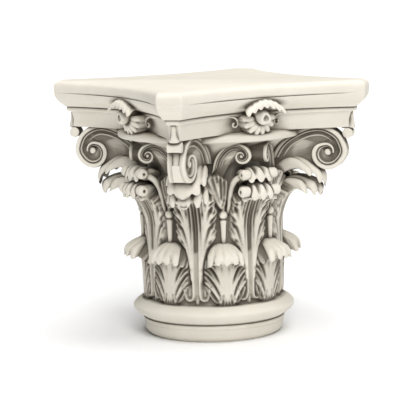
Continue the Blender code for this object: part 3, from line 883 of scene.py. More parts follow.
@dataclass(frozen=True)
class Spiral:
    """Outer edge of a scroll about its eye.

    Args:
        turns: angle clockwise from the stem in degrees, and reach as a share of the radius.
        radius: reach of the first turn past the eye.
    """

    turns: Sequence[Point]
    radius: float

    def edge(self, steps: int = 9) -> tuple[np.ndarray, np.ndarray]:
        """Angles in radians and reaches in metres along the edge."""
        dense = smooth_path(self.turns, steps)
        return np.radians(dense[:, 0]), dense[:, 1] * self.radius

    def reach_at(self, angle: np.ndarray) -> np.ndarray:
        """Reach of the edge on its first turn at angles in degrees."""
        dense = smooth_path(self.turns, 9)[::-1]
        return np.interp(angle, dense[:, 0], dense[:, 1]) * self.radius


CORNER_SPIRAL = Spiral((
    (186, 3.00), (172, 2.66), (154, 2.18), (134, 1.83), (112, 1.57), (88, 1.32), (60, 1.15),
    (30, 1.02), (0, 1.00), (-37, 0.93), (-87, 0.95), (-130, 0.94), (-175, 0.85), (-205, 0.74),
    (-238, 0.56), (-275, 0.46), (-320, 0.37), (-370, 0.32)), 0.0338)
INNER_SPIRAL = Spiral((
    (213, 3.90), (206, 3.25), (190, 2.75), (168, 2.22), (144, 1.84), (118, 1.52), (84, 1.20),
    (40, 1.02), (0, 0.98), (-35, 0.88), (-75, 0.78), (-127, 0.69), (-175, 0.60), (-235, 0.51),
    (-290, 0.40), (-350, 0.30)), 0.018)

# Section of a scroll's band: share of its width inwards from the edge, and depth as a share of
# the relief: a broad rounded rim, a groove, a thin ridge and the fall to the sunk field
BAND_SECTION = (
    (0.00, 1.05), (0.00, 0.34), (0.02, 0.14), (0.07, 0.03), (0.16, 0.00), (0.32, 0.00), (0.46, 0.04),
    (0.55, 0.14), (0.60, 0.30), (0.645, 0.40), (0.69, 0.34), (0.74, 0.20), (0.80, 0.14), (0.87, 0.20),
    (0.92, 0.42), (0.96, 0.78), (1.00, 1.00), (1.02, 1.60),
)


def swept_band(name: str, spiral: Spiral, width: float, relief: float, full_reach: float,
               place: Place) -> Carving:
    """Sweeps a moulded band along a spiral.

    Args:
        name: the piece's name.
        spiral: the edge that it follows.
        width: the band's full width.
        relief: how far it stands above the field.
        full_reach: reach, as a share of the radius, below which it narrows towards the eye.
        place: turns flat coordinates and depth into points.

    Returns:
        The closed band.
    """
    angle, reach = spiral.edge(7)
    wide = width * np.minimum(1.0, reach / (full_reach * spiral.radius))
    section = np.array(BAND_SECTION)
    inward = reach[:, None] - wide[:, None] * section[None, :, 0]
    inward = np.maximum(inward, 0.0004)
    depth = relief * section[None, :, 1] + 0 * inward
    rings = place(inward * np.cos(angle)[:, None], inward * np.sin(angle)[:, None], depth)
    return lofted(name, rings, crease=math.radians(60))


def field_ridge(spiral: Spiral, inset: float, half: float, relief: float, place: Place) -> Carving:
    """Low rounded ridge that follows the stem across a scroll's sunk field.

    Args:
        spiral: the edge that it runs beside.
        inset: its distance from the edge.
        half: half its width.
        relief: depth of the field that it lies on.
        place: turns flat coordinates and depth into points.

    Returns:
        The closed ridge.
    """
    angle, reach = spiral.edge(7)
    kept = np.degrees(angle) > 62
    angle, reach = angle[kept], reach[kept] - inset
    fade = np.sin(np.linspace(0.12, 0.97, len(angle)) * math.pi) ** 0.5
    turn = np.linspace(0, 2 * math.pi, 12, endpoint=False)
    span = reach[:, None] + half * fade[:, None] * np.cos(turn)
    depth = relief - 0.9 * half * fade[:, None] * np.sin(turn)
    rings = place(span * np.cos(angle)[:, None], span * np.sin(angle)[:, None], depth)
    return lofted("ridge", rings)


def filled_outline(name: str, outline: np.ndarray, near: float, far: float, place: Place,
                   crown: float = 0.0) -> Carving:
    """Makes a closed plate from an outline, its faces fanned in rings towards the middle.

    Args:
        name: the piece's name.
        outline: flat points round the plate.
        near: depth of its front face.
        far: depth of its back face.
        place: turns flat coordinates and depth into points.
        crown: how far the middle of the front face stands above its edge.

    Returns:
        The closed plate.
    """
    middle = outline.mean(axis=0)
    rings = []
    for share in (0.03, 0.3, 0.55, 0.75, 0.9, 0.97, 1.0):
        flat = middle + (outline - middle) * share
        depth = np.full(len(flat), near - crown * (1 - share ** 2))
        rings.append(place(flat[:, 0], flat[:, 1], depth))
    for share in (1.0, 0.5, 0.03):
        flat = middle + (outline - middle) * share
        rings.append(place(flat[:, 0], flat[:, 1], np.full(len(flat), far)))
    return lofted(name, np.stack(rings))


@dataclass
class CornerScroll:
    """Scroll under a horn, moulded on both sides, with a panelled front band."""

    eye_reach: float = 0.2193
    eye_drop: float = 0.0435
    front_width: float = 0.030
    spread: float = 0.125
    band: float = 0.0140
    relief: float = 0.0080
    spiral: Spiral = CORNER_SPIRAL
    full_reach: float = 0.80
    ribbon_inset: float = 0.0006
    ribbon_depth: float = 0.008
    panel_depth: float = 0.0016
    panel_level: float = 20.5
    panel_half: float = 17.5
    panel_half_share: float = 0.66
    arch_level: float = -24
    arch_radius_mm: float = 5.2
    arch_half_mm: float = 1.9
    drop_radius_mm: float = 2.8
    bead_height: float = 0.0013
    field_first: float = -120
    field_inset: float = 0.0040
    field_depth: float = 0.0145
    field_crown: float = 0.0010
    ridge_inset: float = 0.0215
    ridge_half: float = 0.0028
    button_radius: float = 0.0062
    button_proud: float = -0.0012

    def half_width(self, out: np.ndarray) -> np.ndarray:
        """Half the scroll's width at a distance from the axis."""
        return 0.5 * self.front_width + self.spread * (self.eye_reach + self.spiral.radius - out)

    def on_side(self, side: Side) -> Place:
        """Gives the placing of flat points on one side of the scroll.

        Args:
            side: which side of the scroll is moulded.

        Returns:
            A function from flat coordinates and depth to points.
        """
        def place(x: np.ndarray, y: np.ndarray, depth: np.ndarray) -> np.ndarray:
            """Puts flat points at a depth under the side's face.

            Args:
                x: distances outwards from the eye.
                y: distances upwards from the eye.
                depth: how far the points lie under the face.

            Returns:
                The points.
            """
            out = self.eye_reach + x
            return np.stack([out, side.value * (self.half_width(out) - depth),
                             SLAB_UNDERSIDE - self.eye_drop + y], axis=-1)
        return place

    def ribbon(self) -> Carving:
        """Front band between the two rims, with a sunk panel and a small arch below it.

        Returns:
            The closed band.
        """
        degrees = np.linspace(112, -100, 112)
        wide = np.linspace(-1, 1, 23)
        turn, side = np.meshgrid(np.radians(degrees), wide, indexing="ij")
        reach = self.spiral.reach_at(degrees)[:, None] + 0 * side
        level = np.degrees(turn)
        panel = (np.clip((self.panel_half - np.abs(level - self.panel_level)) / 2.0, 0, 1)
                 * np.clip((self.panel_half_share - np.abs(side)) / 0.08, 0, 1))
        half = 0.5 * self.front_width
        below = (level - self.arch_level) * math.pi / 180 * self.spiral.radius
        away = np.hypot(side * half, below) / MM
        arch = (np.clip(1 - np.abs(away - self.arch_radius_mm) / self.arch_half_mm, 0, 1)
                * (level > self.arch_level))
        drop = np.clip(1 - away / self.drop_radius_mm, 0, 1)
        surface = (reach - self.ribbon_inset - self.panel_depth * panel
                   + self.bead_height * arch + self.bead_height * drop)
        rings = []
        for k in range(len(degrees)):
            ring = []
            for depth in (0.0, self.ribbon_depth):
                row = surface[k] if depth == 0 else np.full(len(wide), reach[k, 0] - depth)
                out = self.eye_reach + row * math.cos(turn[k, 0])
                z = SLAB_UNDERSIDE - self.eye_drop + row * math.sin(turn[k, 0])
                t = wide * (self.half_width(out) - 0.0008)  # just inside both rims
                line = np.stack([out, t, z], axis=-1)
                ring.append(line if depth == 0 else line[::-1])
            rings.append(np.vstack(ring))
        return lofted("scroll ribbon", np.stack(rings), crease=math.radians(45))

    def carve(self) -> Carving:
        """Puts the bands, the sunk sides and the ribbon together.

        Returns:
            The whole scroll.
        """
        angle, reach = self.spiral.edge()
        first = np.degrees(angle) > self.field_first
        outline = np.stack([(reach[first] - self.field_inset) * np.cos(angle[first]),
                            (reach[first] - self.field_inset) * np.sin(angle[first])], axis=-1)
        outline = np.vstack([outline, [(-0.050, -0.030), (-0.100, -0.040)]])
        scroll = self.ribbon()
        scroll.name, scroll.first_angle = "corner_scrolls", EIGHTH_TURN
        for side in Side:
            place = self.on_side(side)
            scroll.joined(swept_band("band", self.spiral, self.band, self.relief, self.full_reach,
                                     place))
            scroll.joined(filled_outline("field", outline, self.relief, self.field_depth, place,
                                         self.field_crown))
            scroll.joined(field_ridge(self.spiral, self.ridge_inset, self.ridge_half, self.relief,
                                      place))
            scroll.joined(button(place, self.button_radius, self.relief, self.button_proud))
        return scroll


def button(place: Place, radius: float, back: float, proud: float) -> Carving:
    """Small domed button at a scroll's eye.

    Args:
        place: turns flat coordinates and depth into points.
        radius: the button's radius.
        back: depth that it stands on.
        proud: how far it stands above the band.

    Returns:
        The closed button.
    """
    turn = np.linspace(0, 2 * math.pi, 28, endpoint=False)
    rings = [place(radius * np.cos(turn), radius * np.sin(turn), np.full(28, 1.4 * back))]
    for lift in np.radians(np.linspace(0, 84, 8)):
        reach = radius * math.cos(lift)
        depth = 0.5 * back - (0.5 * back + proud) * math.sin(lift)
        rings.append(place(reach * np.cos(turn), reach * np.sin(turn), np.full(28, depth)))
    return lofted("button", np.stack(rings), crease=math.radians(60))


@dataclass
class InnerScrolls:
    """Two small scrolls beside each diagonal, flat on a plane square to it."""

    plane: float = 0.125
    eye_offset: float = 0.085
    eye_drop: float = 0.0405
    depth: float = 0.027
    band: float = 0.0088
    relief: float = 0.0050
    spiral: Spiral = INNER_SPIRAL
    full_reach: float = 0.80
    field_first: float = -150
    field_inset: float = 0.0009
    field_crown: float = 0.0006
    ridges: Sequence[Point] = ((0.0125, 0.0018), (0.0175, 0.0016))
    button_radius: float = 0.0034
    button_proud: float = -0.0008

    def on_side(self, side: Side) -> Place:
        """Gives the placing of flat points on one of the two scrolls.

        Args:
            side: which of the two scrolls is drawn.

        Returns:
            A function from flat coordinates and depth to points.
        """
        def place(x: np.ndarray, y: np.ndarray, depth: np.ndarray) -> np.ndarray:
            """Puts flat points at a depth behind the scroll's plane."""
            return np.stack([self.plane - depth, side.value * (self.eye_offset + x),
                             SLAB_UNDERSIDE - self.eye_drop + y], axis=-1)
        return place

    def carve(self) -> Carving:
        """Puts the bands, fields and buttons of both scrolls together.

        Returns:
            Both scrolls.
        """
        angle, reach = self.spiral.edge()
        first = np.degrees(angle) > self.field_first
        outline = np.stack([(reach[first] - self.field_inset) * np.cos(angle[first]),
                            (reach[first] - self.field_inset) * np.sin(angle[first])], axis=-1)
        outline = np.vstack([outline, [(-0.026, -0.018), (-0.040, -0.046)]])
        scrolls: Carving | None = None
        for side in Side:
            place = self.on_side(side)
            pieces = [swept_band("band", self.spiral, self.band, self.relief, self.full_reach, place),
                      filled_outline("field", outline, self.relief, self.depth, place,
                                     self.field_crown),
                      *(field_ridge(self.spiral, inset, half, self.relief, place)
                        for inset, half in self.ridges),
                      button(place, self.button_radius, self.relief, self.button_proud)]
            for piece in pieces:
                scrolls = piece if scrolls is None else scrolls.joined(piece)
        scrolls.name, scrolls.first_angle = "inner_scrolls", EIGHTH_TURN
        return scrolls


@dataclass
class Stalks:
    """Tapered stalks with a bead on top, one between each pair of upper leaves."""

    foot_z: float = 0.178
    top_z: float = 0.2205
    bead_z: float = 0.2305
    bead_radius: float = 0.0078
    standing: float = 0.1275

    def carve(self) -> Carving:
        """Turns stalk, collar, bead and neck in one outline.

        Returns:
            One stalk, with its eight places.
        """
        outline = [(0.0034, self.foot_z), (0.0040, self.foot_z + 0.012),
                   (0.0050, self.top_z - 0.008), (0.0057, self.top_z - 0.003),
                   (0.0050, self.top_z), (0.0036, self.top_z + 0.0018)]
        smooth = smooth_path(outline, 4)
        lift = np.radians(np.linspace(-68, 68, 15))
        ball = np.stack([self.bead_radius * np.cos(lift),
                         self.bead_z + self.bead_radius * np.sin(lift)], axis=-1)
        neck = np.array([(0.0034, self.bead_z + self.bead_radius + 0.001),
                         (0.0042, self.bead_z + self.bead_radius + 0.007)])
        profile = np.vstack([smooth, ball, neck])
        turn = np.linspace(0, 2 * math.pi, 24, endpoint=False)
        rings = np.stack([self.standing + profile[:, :1] * np.cos(turn),
                          profile[:, :1] * np.sin(turn),
                          profile[:, 1:] + 0 * turn], axis=-1)
        return lofted("stalks", rings, HALF_GAP, 8, math.radians(40))


@dataclass
class Flower:
    """Flower on the middle of a side: a toothed hood, hanging lobes and a pistil."""

    root: float = 0.149
    reach: float = 0.193
    centre_z: float = 0.403
    hood_z: float = 0.4345
    hood_half: float = 0.043
    teeth: int = 7
    fan_first: float = -190
    fan_last: float = 10
    petals: int = 8
    petal_length: float = 0.0335
    petal_lift: float = 0.0240

    def hood(self) -> Carving:
        """Fluted petal that juts out over the flower like an awning, its rim toothed.

        Returns:
            The closed petal.
        """
        along, across = np.linspace(0, 1, 24), np.linspace(-1, 1, 10 * self.teeth + 1)
        grow, side = np.meshgrid(along, across, indexing="ij")
        tooth = np.abs(np.sin(0.5 * math.pi * self.teeth * (side + 1)))
        grow = grow * (1 - 0.20 * (1 - tooth) ** 1.3) * (1 - 0.16 * side ** 4)
        wide = self.hood_half * (0.52 + 0.48 * np.sin(0.5 * math.pi * grow))
        out = self.root + (self.reach - self.root) * np.sin(0.5 * math.pi * grow)
        up = (self.hood_z + 0.0040 * np.sin(math.pi * grow) - 0.0150 * grow ** 3
              - 0.0230 * side ** 2 * (0.45 + 0.55 * grow) + 0.0026 * tooth * grow)
        top = np.stack([out, wide * side, up], axis=-1)
        below = top + np.array([-0.0010, 0.0, -1.0]) * (0.0042 - 0.0022 * grow)[..., None]
        points, faces = stitched(top, below, np.ones(out.shape, bool))
        return Carving("hood", points, faces)

    def fan(self, first: float, last: float, petals: int, length: float, lift: float) -> Carving:
        """Hanging petals side by side, swelling outwards to a scalloped rim.

        Args:
            first: direction of the fan's left edge in degrees from sideways.
            last: direction of its right edge.
            petals: how many petals it has.
            length: distance from the flower's middle to a petal's tip.
            lift: how far the petals swell out from the slab.

        Returns:
            The closed fan.
        """
        along, across = np.linspace(0.15, 1, 20), np.linspace(0, 1, 12 * petals + 1)
        grow, side = np.meshgrid(along, across, indexing="ij")
        petal = np.abs(np.sin(math.pi * petals * side)) ** 0.7
        angle = np.radians(first + (last - first) * side)
        radius = length * grow * (1 - 0.14 * (1 - petal) * grow ** 3)
        swell = np.sin(math.pi * np.clip(0.24 + 0.56 * grow, 0, 1))
        lip = np.clip((grow - 0.84) / 0.16, 0, 1)
        out = self.root + lift * swell * (1 - 0.10 * (1 - petal) * grow) + 0.0026 * lip * petal
        flat = np.stack([radius * np.cos(angle), self.centre_z + radius * np.sin(angle)], axis=-1)
        inside = np.stack([0.94 * radius * np.cos(angle),
                           self.centre_z + 0.94 * radius * np.sin(angle)], axis=-1)
        front = np.concatenate([out[..., None], flat], axis=-1)
        back = np.concatenate([np.full(out.shape, self.root - 0.010)[..., None], inside], axis=-1)
        points, faces = stitched(front, back, np.ones(out.shape, bool))
        return Carving("fan", points, faces)

    def pistil(self) -> Carving:
        """Blunt cone in the middle with a collar, twisted at its tip.

        Returns:
            The closed pistil.
        """
        rows = smooth_path([(-0.004, 0.0110), (0.014, 0.0128), (0.025, 0.0134), (0.0320, 0.0128),
                            (0.0375, 0.0108), (0.0395, 0.0080), (0.0390, 0.0058), (0.0365, 0.0044),
                            (0.0345, 0.0012)], 5)
        turn = np.linspace(0, 2 * math.pi, 40, endpoint=False)
        grow = np.clip((rows[:, :1] - 0.028) / 0.012, 0, 1)
        radius = rows[:, 1:] * (1 + 0.10 * grow * np.cos(3 * turn + 200 * rows[:, :1]))
        rings = np.stack([self.root + rows[:, :1] + 0 * turn, radius * np.cos(turn),
                          self.centre_z + 0.008 - 0.22 * rows[:, :1] + radius * np.sin(turn)],
                         axis=-1)
        return lofted("pistil", rings)

    def side_volute(self, side: Side) -> Carving:
        """End of the slab's fillet, turned down and curled beside the flower.

        Args:
            side: which side of the flower it curls at.

        Returns:
            The closed curl.
        """
        path = [(0.0560, 0.4062), (0.0470, 0.4058), (0.0405, 0.4020), (0.0372, 0.3955),
                (0.0392, 0.3890), (0.0445, 0.3885), (0.0468, 0.3925), (0.0445, 0.3955)]
        deep = [0.1530, 0.1530, 0.1535, 0.1525, 0.1515, 0.1515, 0.1520, 0.1525]
        points = [(out, side.value * t, z) for (t, z), out in zip(path, deep)]
        return swept_tube("volute", points, [(0.0019, 0.0035)] * len(points))

    def carve(self) -> Carving:
        """Puts the hood, the lobes and the pistil together.

        Returns:
            The whole flower.
        """
        flower = self.hood()
        flower.joined(self.fan(self.fan_first, self.fan_last, self.petals, self.petal_length,
                               self.petal_lift))
        flower.joined(self.pistil())
        for side in Side:
            flower.joined(self.side_volute(side))
        flower.name = "flowers"
        return flower


@dataclass
class CornerDrop:
    """Tapered drop on the hollow of a horn, ending in a roll above the scroll."""

    face: float = 0.2578
    half_width: float = 0.0125
    roll_radius: float = 0.0092

    def carve(self) -> Carving:
        """Puts the drop and its roll together.

        Returns:
            The drop, with its four places.
        """
        rows = smooth_path([(0.4035, 0.0064, 0.0050), (0.3985, 0.0052, 0.0056),
                            (0.3910, 0.0046, 0.0062), (0.3845, 0.0056, 0.0070),
                            (0.3795, 0.0078, 0.0080), (0.3765, 0.0098, 0.0084),
                            (0.3735, 0.0100, 0.0074)], 5)
        turn = np.linspace(0, 2 * math.pi, 24, endpoint=False)
        square = 0.80
        cos, sin = np.cos(turn), np.sin(turn)
        cos, sin = np.sign(cos) * np.abs(cos) ** square, np.sign(sin) * np.abs(sin) ** square
        rings = np.stack([self.face - 0.004 + (rows[:, 2:] + 0.004) * cos, rows[:, 1:2] * sin,
                          rows[:, :1] + 0 * cos], axis=-1)
        drop = lofted("corner_drops", rings, EIGHTH_TURN)
        ends = smooth_path([(-1.0, 0.80), (-0.97, 0.93), (-0.90, 1.0), (0.0, 0.97), (0.90, 1.0),
                            (0.97, 0.93), (1.0, 0.80)], 5)
        radius = self.roll_radius * ends[:, 1:]
        roll = np.stack([self.face - 0.0035 + radius * np.cos(turn),
                         self.half_width * ends[:, :1] + 0 * turn,
                         SLAB_UNDERSIDE - 0.0105 + radius * np.sin(turn)], axis=-1)
        return drop.joined(lofted("roll", roll))


def linear_colour(code: str) -> tuple[float, float, float, float]:
    """Turns an sRGB hex code into a linear colour.

    Args:
        code: the colour, as a hash sign and six digits.

    Returns:
        Red, green, blue and full cover, each from 0 to 1.
    """
    channels = [int(code[i:i + 2], 16) / 255 for i in (1, 3, 5)]
    linear = [c / 12.92 if c <= 0.04045 else ((c + 0.055) / 1.055) ** 2.4 for c in channels]
    return (linear[0], linear[1], linear[2], 1.0)


def add_node(tree: bpy.types.NodeTree, kind: str, links: dict[str | int, object] | None = None,
             **settings: object) -> bpy.types.Node:
    """Adds a node with its settings, values and links.

    Args:
        tree: the tree that it goes in.
        kind: the node's type.
        links: input name or number to a value, or to the output socket that feeds it.
        settings: the node's own properties.

    Returns:
        The new node.
    """
    node = tree.nodes.new(kind)
    for key, value in settings.items():
        setattr(node, key, value)
    for key, value in (links or {}).items():
        if isinstance(value, bpy.types.NodeSocket):
            tree.links.new(value, node.inputs[key])
        else:
            node.inputs[key].default_value = value
    return node


@dataclass(frozen=True)
class CastStone:
    """Resin-bonded stone, cast in a rubber mould and wiped with a grey-brown wash.

    The casting gives soft edges and a dry, even face; the wash stays in the hollows and thins
    out over the crests. The same grey-brown, laid in by how closed in each point is, also paints the
    shade under the slab and in the recesses.
    """

    ivory: str = "#EBE6DA"
    warm: str = "#E0D9CB"
    # wash and deep are mixed in by the hollow attribute. They are the real grey-brown wash and also
    # painted shade, and deep paints the darkest recesses.
    wash: str = "#857D70"
    deep: str = "#4F483D"
    roughness: float = 0.62
    mottle_mm: float = 38.0
    grain_mm: float = 1.6

    def mixed(self, tree: bpy.types.NodeTree, share: bpy.types.NodeSocket, first: object,
              second: object) -> bpy.types.NodeSocket:
        """Mixes two colours by a share and gives the socket with the result.

        Args:
            tree: the tree that the mix goes in.
            share: how much of the second colour shows.
            first: the first colour, or the socket that gives it.
            second: the second colour, or the socket that gives it.

        Returns:
            The socket with the mixed colour.
        """
        factor, first_colour, second_colour, result = 0, 6, 7, 2
        node = add_node(tree, "ShaderNodeMix", data_type="RGBA")
        for key, value in ((factor, share), (first_colour, first), (second_colour, second)):
            if isinstance(value, bpy.types.NodeSocket):
                tree.links.new(value, node.inputs[key])
            else:
                node.inputs[key].default_value = value
        return node.outputs[result]

    def build(self) -> bpy.types.Material:
        """Makes the material.

        Returns:
            The finished material.
        """
        material = bpy.data.materials.new("Cast resin-bonded stone, washed")
        material.use_nodes = True
        tree = material.node_tree
        shader = tree.nodes["Principled BSDF"]
        where = add_node(tree, "ShaderNodeTexCoord").outputs["Object"]
        mottle = add_node(tree, "ShaderNodeTexNoise",
                          {"Vector": where, "Scale": 1 / (self.mottle_mm * MM), "Detail": 4.0,
                           "Roughness": 0.6})
        grain = add_node(tree, "ShaderNodeTexNoise",
                         {"Vector": where, "Scale": 1 / (self.grain_mm * MM), "Detail": 3.0,
                          "Roughness": 0.55})
        hollow = add_node(tree, "ShaderNodeAttribute", attribute_name="hollow")
        stone = self.mixed(tree, mottle.outputs["Fac"], linear_colour(self.ivory),
                           linear_colour(self.warm))
        uneven = add_node(tree, "ShaderNodeMath", {0: mottle.outputs["Fac"], 1: 0.5, 2: 0.75},
                          operation="MULTIPLY_ADD")
        # How much grey-brown goes in follows the hollow attribute, made uneven by the mottle. It
        # stands for the real wash and also for painted shade under the slab and in the recesses.
        wash_and_painted_shade_amount = add_node(tree, "ShaderNodeMath", {0: hollow.outputs["Fac"], 1: uneven.outputs[0]},
                          operation="MULTIPLY", use_clamp=True)
        light_wash_and_painted_shade = add_node(tree, "ShaderNodeMapRange",
                              {"Value": wash_and_painted_shade_amount.outputs[0], "From Min": 0.06, "From Max": 0.55,
                               "To Max": 0.90})
        dark_wash_and_painted_shade = add_node(tree, "ShaderNodeMapRange",
                             {"Value": wash_and_painted_shade_amount.outputs[0], "From Min": 0.42, "From Max": 0.95,
                              "To Max": 0.85})
        # Painted shade and wash: a light grey-brown first, then the deep colour in the most closed-in
        # spots.
        washed_and_painted_shade = self.mixed(tree, light_wash_and_painted_shade.outputs[0], stone, linear_colour(self.wash))
        coloured = self.mixed(tree, dark_wash_and_painted_shade.outputs[0], washed_and_painted_shade, linear_colour(self.deep))
        bump = add_node(tree, "ShaderNodeBump", {"Height": grain.outputs["Fac"], "Strength": 0.10,
                                                 "Distance": 0.0006})
        tree.links.new(coloured, shader.inputs["Base Color"])
        tree.links.new(bump.outputs["Normal"], shader.inputs["Normal"])
        shader.inputs["Roughness"].default_value = self.roughness
        shader.inputs["Specular IOR Level"].default_value = 0.32
        return material


@dataclass(frozen=True)
class StudioFloor:
    """Seamless white paper: even and without gloss."""

    white: str = "#F8F8F8"

    def build(self) -> bpy.types.Material:
        """Makes the material.

        Returns:
            The finished material.
        """
        material = bpy.data.materials.new("White studio paper")
        material.use_nodes = True
        shader = material.node_tree.nodes["Principled BSDF"]
        shader.inputs["Base Color"].default_value = linear_colour(self.white)
        shader.inputs["Roughness"].default_value = 0.9
        return material


@dataclass
class Workshop:
    """Repeats carvings about the axis, lays the wash and painted shade in their hollows and hands
    them over.
    """

    stone: bpy.types.Material
    # The rays measure how closed in each point is. near finds the crevices, and far finds the shade
    # under the slab and between parts. The shares weigh both into the painted shade and wash.
    ray_count: int = 16
    near: float = 0.009
    far: float = 0.050
    near_wash_and_shade_share: float = 2.1
    far_painted_shade_share: float = 0.85
    blur_passes: int = 2
    carvings: list[Carving] = field(default_factory=list)
    made: list[bpy.types.Object] = field(default_factory=list)

    def repeat_tree(self) -> bpy.types.NodeTree:
        """Builds the Geometry Nodes tree that sets copies round the axis.

        Returns:
            The tree.
        """
        tree = bpy.data.node_groups.new("copies round the axis", "GeometryNodeTree")
        for name, kind in (("Geometry", "NodeSocketGeometry"), ("Copies", "NodeSocketInt"),
                           ("First angle", "NodeSocketFloat"), ("Stone", "NodeSocketMaterial")):
            tree.interface.new_socket(name=name, in_out="INPUT", socket_type=kind)
        tree.interface.new_socket(name="Geometry", in_out="OUTPUT", socket_type="NodeSocketGeometry")
        given = add_node(tree, "NodeGroupInput").outputs
        index = add_node(tree, "GeometryNodeInputIndex").outputs[0]
        step = add_node(tree, "ShaderNodeMath", {0: 2 * math.pi, 1: given["Copies"]},
                        operation="DIVIDE")
        angle = add_node(tree, "ShaderNodeMath",
                         {0: index, 1: step.outputs[0], 2: given["First angle"]},
                         operation="MULTIPLY_ADD")
        axes = add_node(tree, "ShaderNodeCombineXYZ", {"Z": angle.outputs[0]})
        turn = add_node(tree, "FunctionNodeEulerToRotation", {0: axes.outputs[0]})
        line = add_node(tree, "GeometryNodeMeshLine",
                        {"Count": given["Copies"], "Offset": (0, 0, 0)})
        copies = add_node(tree, "GeometryNodeInstanceOnPoints",
                          {"Points": line.outputs[0], "Instance": given["Geometry"],
                           "Rotation": turn.outputs[0]})
        real = add_node(tree, "GeometryNodeRealizeInstances", {0: copies.outputs[0]})
        dressed = add_node(tree, "GeometryNodeSetMaterial", {"Geometry": real.outputs[0],
                                                             "Material": given["Stone"]})
        add_node(tree, "NodeGroupOutput", {0: dressed.outputs[0]})
        return tree

    def repeat(self, carving: Carving, tree: bpy.types.NodeTree) -> bpy.types.Object:
        """Turns one carving into a plain mesh with all its copies.

        Args:
            carving: the form to repeat.
            tree: the Geometry Nodes tree that repeats it.

        Returns:
            The finished object.
        """
        mesh = bpy.data.meshes.new(carving.name)
        mesh.from_pydata(carving.points.tolist(), [], carving.faces)
        piece = bpy.data.objects.new(carving.name, mesh)
        bpy.context.scene.collection.objects.link(piece)
        modifier = piece.modifiers.new("copies", "NODES")
        modifier.node_group = tree
        values = {"Copies": carving.copies, "First angle": carving.first_angle, "Stone": self.stone}
        for item in tree.interface.items_tree:
            if item.in_out == "INPUT" and item.name in values:
                modifier[item.identifier] = values[item.name]
        evaluated = piece.evaluated_get(bpy.context.evaluated_depsgraph_get())
        whole = bpy.data.meshes.new_from_object(evaluated)
        piece.modifiers.remove(modifier)
        piece.data = whole
        bpy.data.meshes.remove(mesh)
        whole.name = carving.name
        whole.materials.clear()
        whole.materials.append(self.stone)
        whole.polygons.foreach_set("use_smooth", [True] * len(whole.polygons))
        whole.set_sharp_from_angle(angle=carving.crease)
        return piece

    def hollows(self, carving: Carving, tree: BVHTree) -> np.ndarray:
        """Finds how closed in each point of a carving is.

        Args:
            carving: the form, whose first copy is looked at.
            tree: the faces of the whole capital.

        Returns:
            One number for each point, from 0 on an open crest to 1 deep in a hollow.
        """
        mesh = bpy.data.meshes.new("look")
        mesh.from_pydata(carving.points.tolist(), [], carving.faces)
        mesh.transform(Matrix.Rotation(carving.first_angle, 4, "Z"))
        golden = math.pi * (3 - math.sqrt(5))
        rays = []
        for k in range(self.ray_count):
            up = 1 - (k + 0.5) / self.ray_count * 0.92
            flat = math.sqrt(1 - up * up)
            rays.append((Vector((flat * math.cos(k * golden), flat * math.sin(k * golden), up)), up))
        weight = sum(up for _, up in rays)
        closed = np.zeros(len(mesh.vertices))
        for vertex in mesh.vertices:
            normal = vertex.normal
            if normal.length < 0.5:
                continue
            basis = normal.to_track_quat("Z", "Y").to_matrix()
            start = vertex.co + normal * 0.0006
            near = far = 0.0
            for ray, up in rays:
                length = tree.ray_cast(start, basis @ ray, self.far)[3]
                if length is not None:
                    far += up * (1 - length / self.far)
                    near += up * max(0.0, 1 - length / self.near)
            closed[vertex.index] = (self.near_wash_and_shade_share * near + self.far_painted_shade_share * far) / weight
        ends = np.array([edge.vertices[:] for edge in mesh.edges])
        bpy.data.meshes.remove(mesh)
        closed = np.clip(closed, 0.0, 1.0)
        for _ in range(self.blur_passes):
            total, count = closed.copy(), np.ones(len(closed))
            for a, b in ((0, 1), (1, 0)):
                np.add.at(total, ends[:, a], closed[ends[:, b]])
                np.add.at(count, ends[:, a], 1)
            closed = total / count
        return closed

    def finish(self) -> None:
        tree = self.repeat_tree()
        for carving in self.carvings:
            self.made.append(self.repeat(carving, tree))
        corners: list[Vector] = []
        faces: list[tuple[int, ...]] = []
        for piece in self.made:
            shift = len(corners)
            corners += [vertex.co.copy() for vertex in piece.data.vertices]
            faces += [tuple(v + shift for v in face.vertices) for face in piece.data.polygons]
        everything = BVHTree.FromPolygons(corners, faces)
        for carving, piece in zip(self.carvings, self.made):
            # The hollow attribute carries the painted shade and the wash to the material.
            wash_and_painted_shade_amount = np.tile(self.hollows(carving, everything), carving.copies)
            attribute = piece.data.attributes.new("hollow", "FLOAT", "POINT")
            attribute.data.foreach_set("value", wash_and_painted_shade_amount.astype(np.float32))
            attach(piece, "root")
            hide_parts("corinthian_capital")
            triangles = sum(len(face.vertices) - 2 for face in piece.data.polygons)
            log.info("%s: %d triangles, hollow %.2f", piece.name, triangles, float(wash_and_painted_shade_amount.mean()))


# Name, heading, height above the horizon and width in degrees, and strength of each light
STUDIO_LIGHTS = (("key", -113, 34, 30, 1.30), ("top", -80, 82, 60, 3.2))


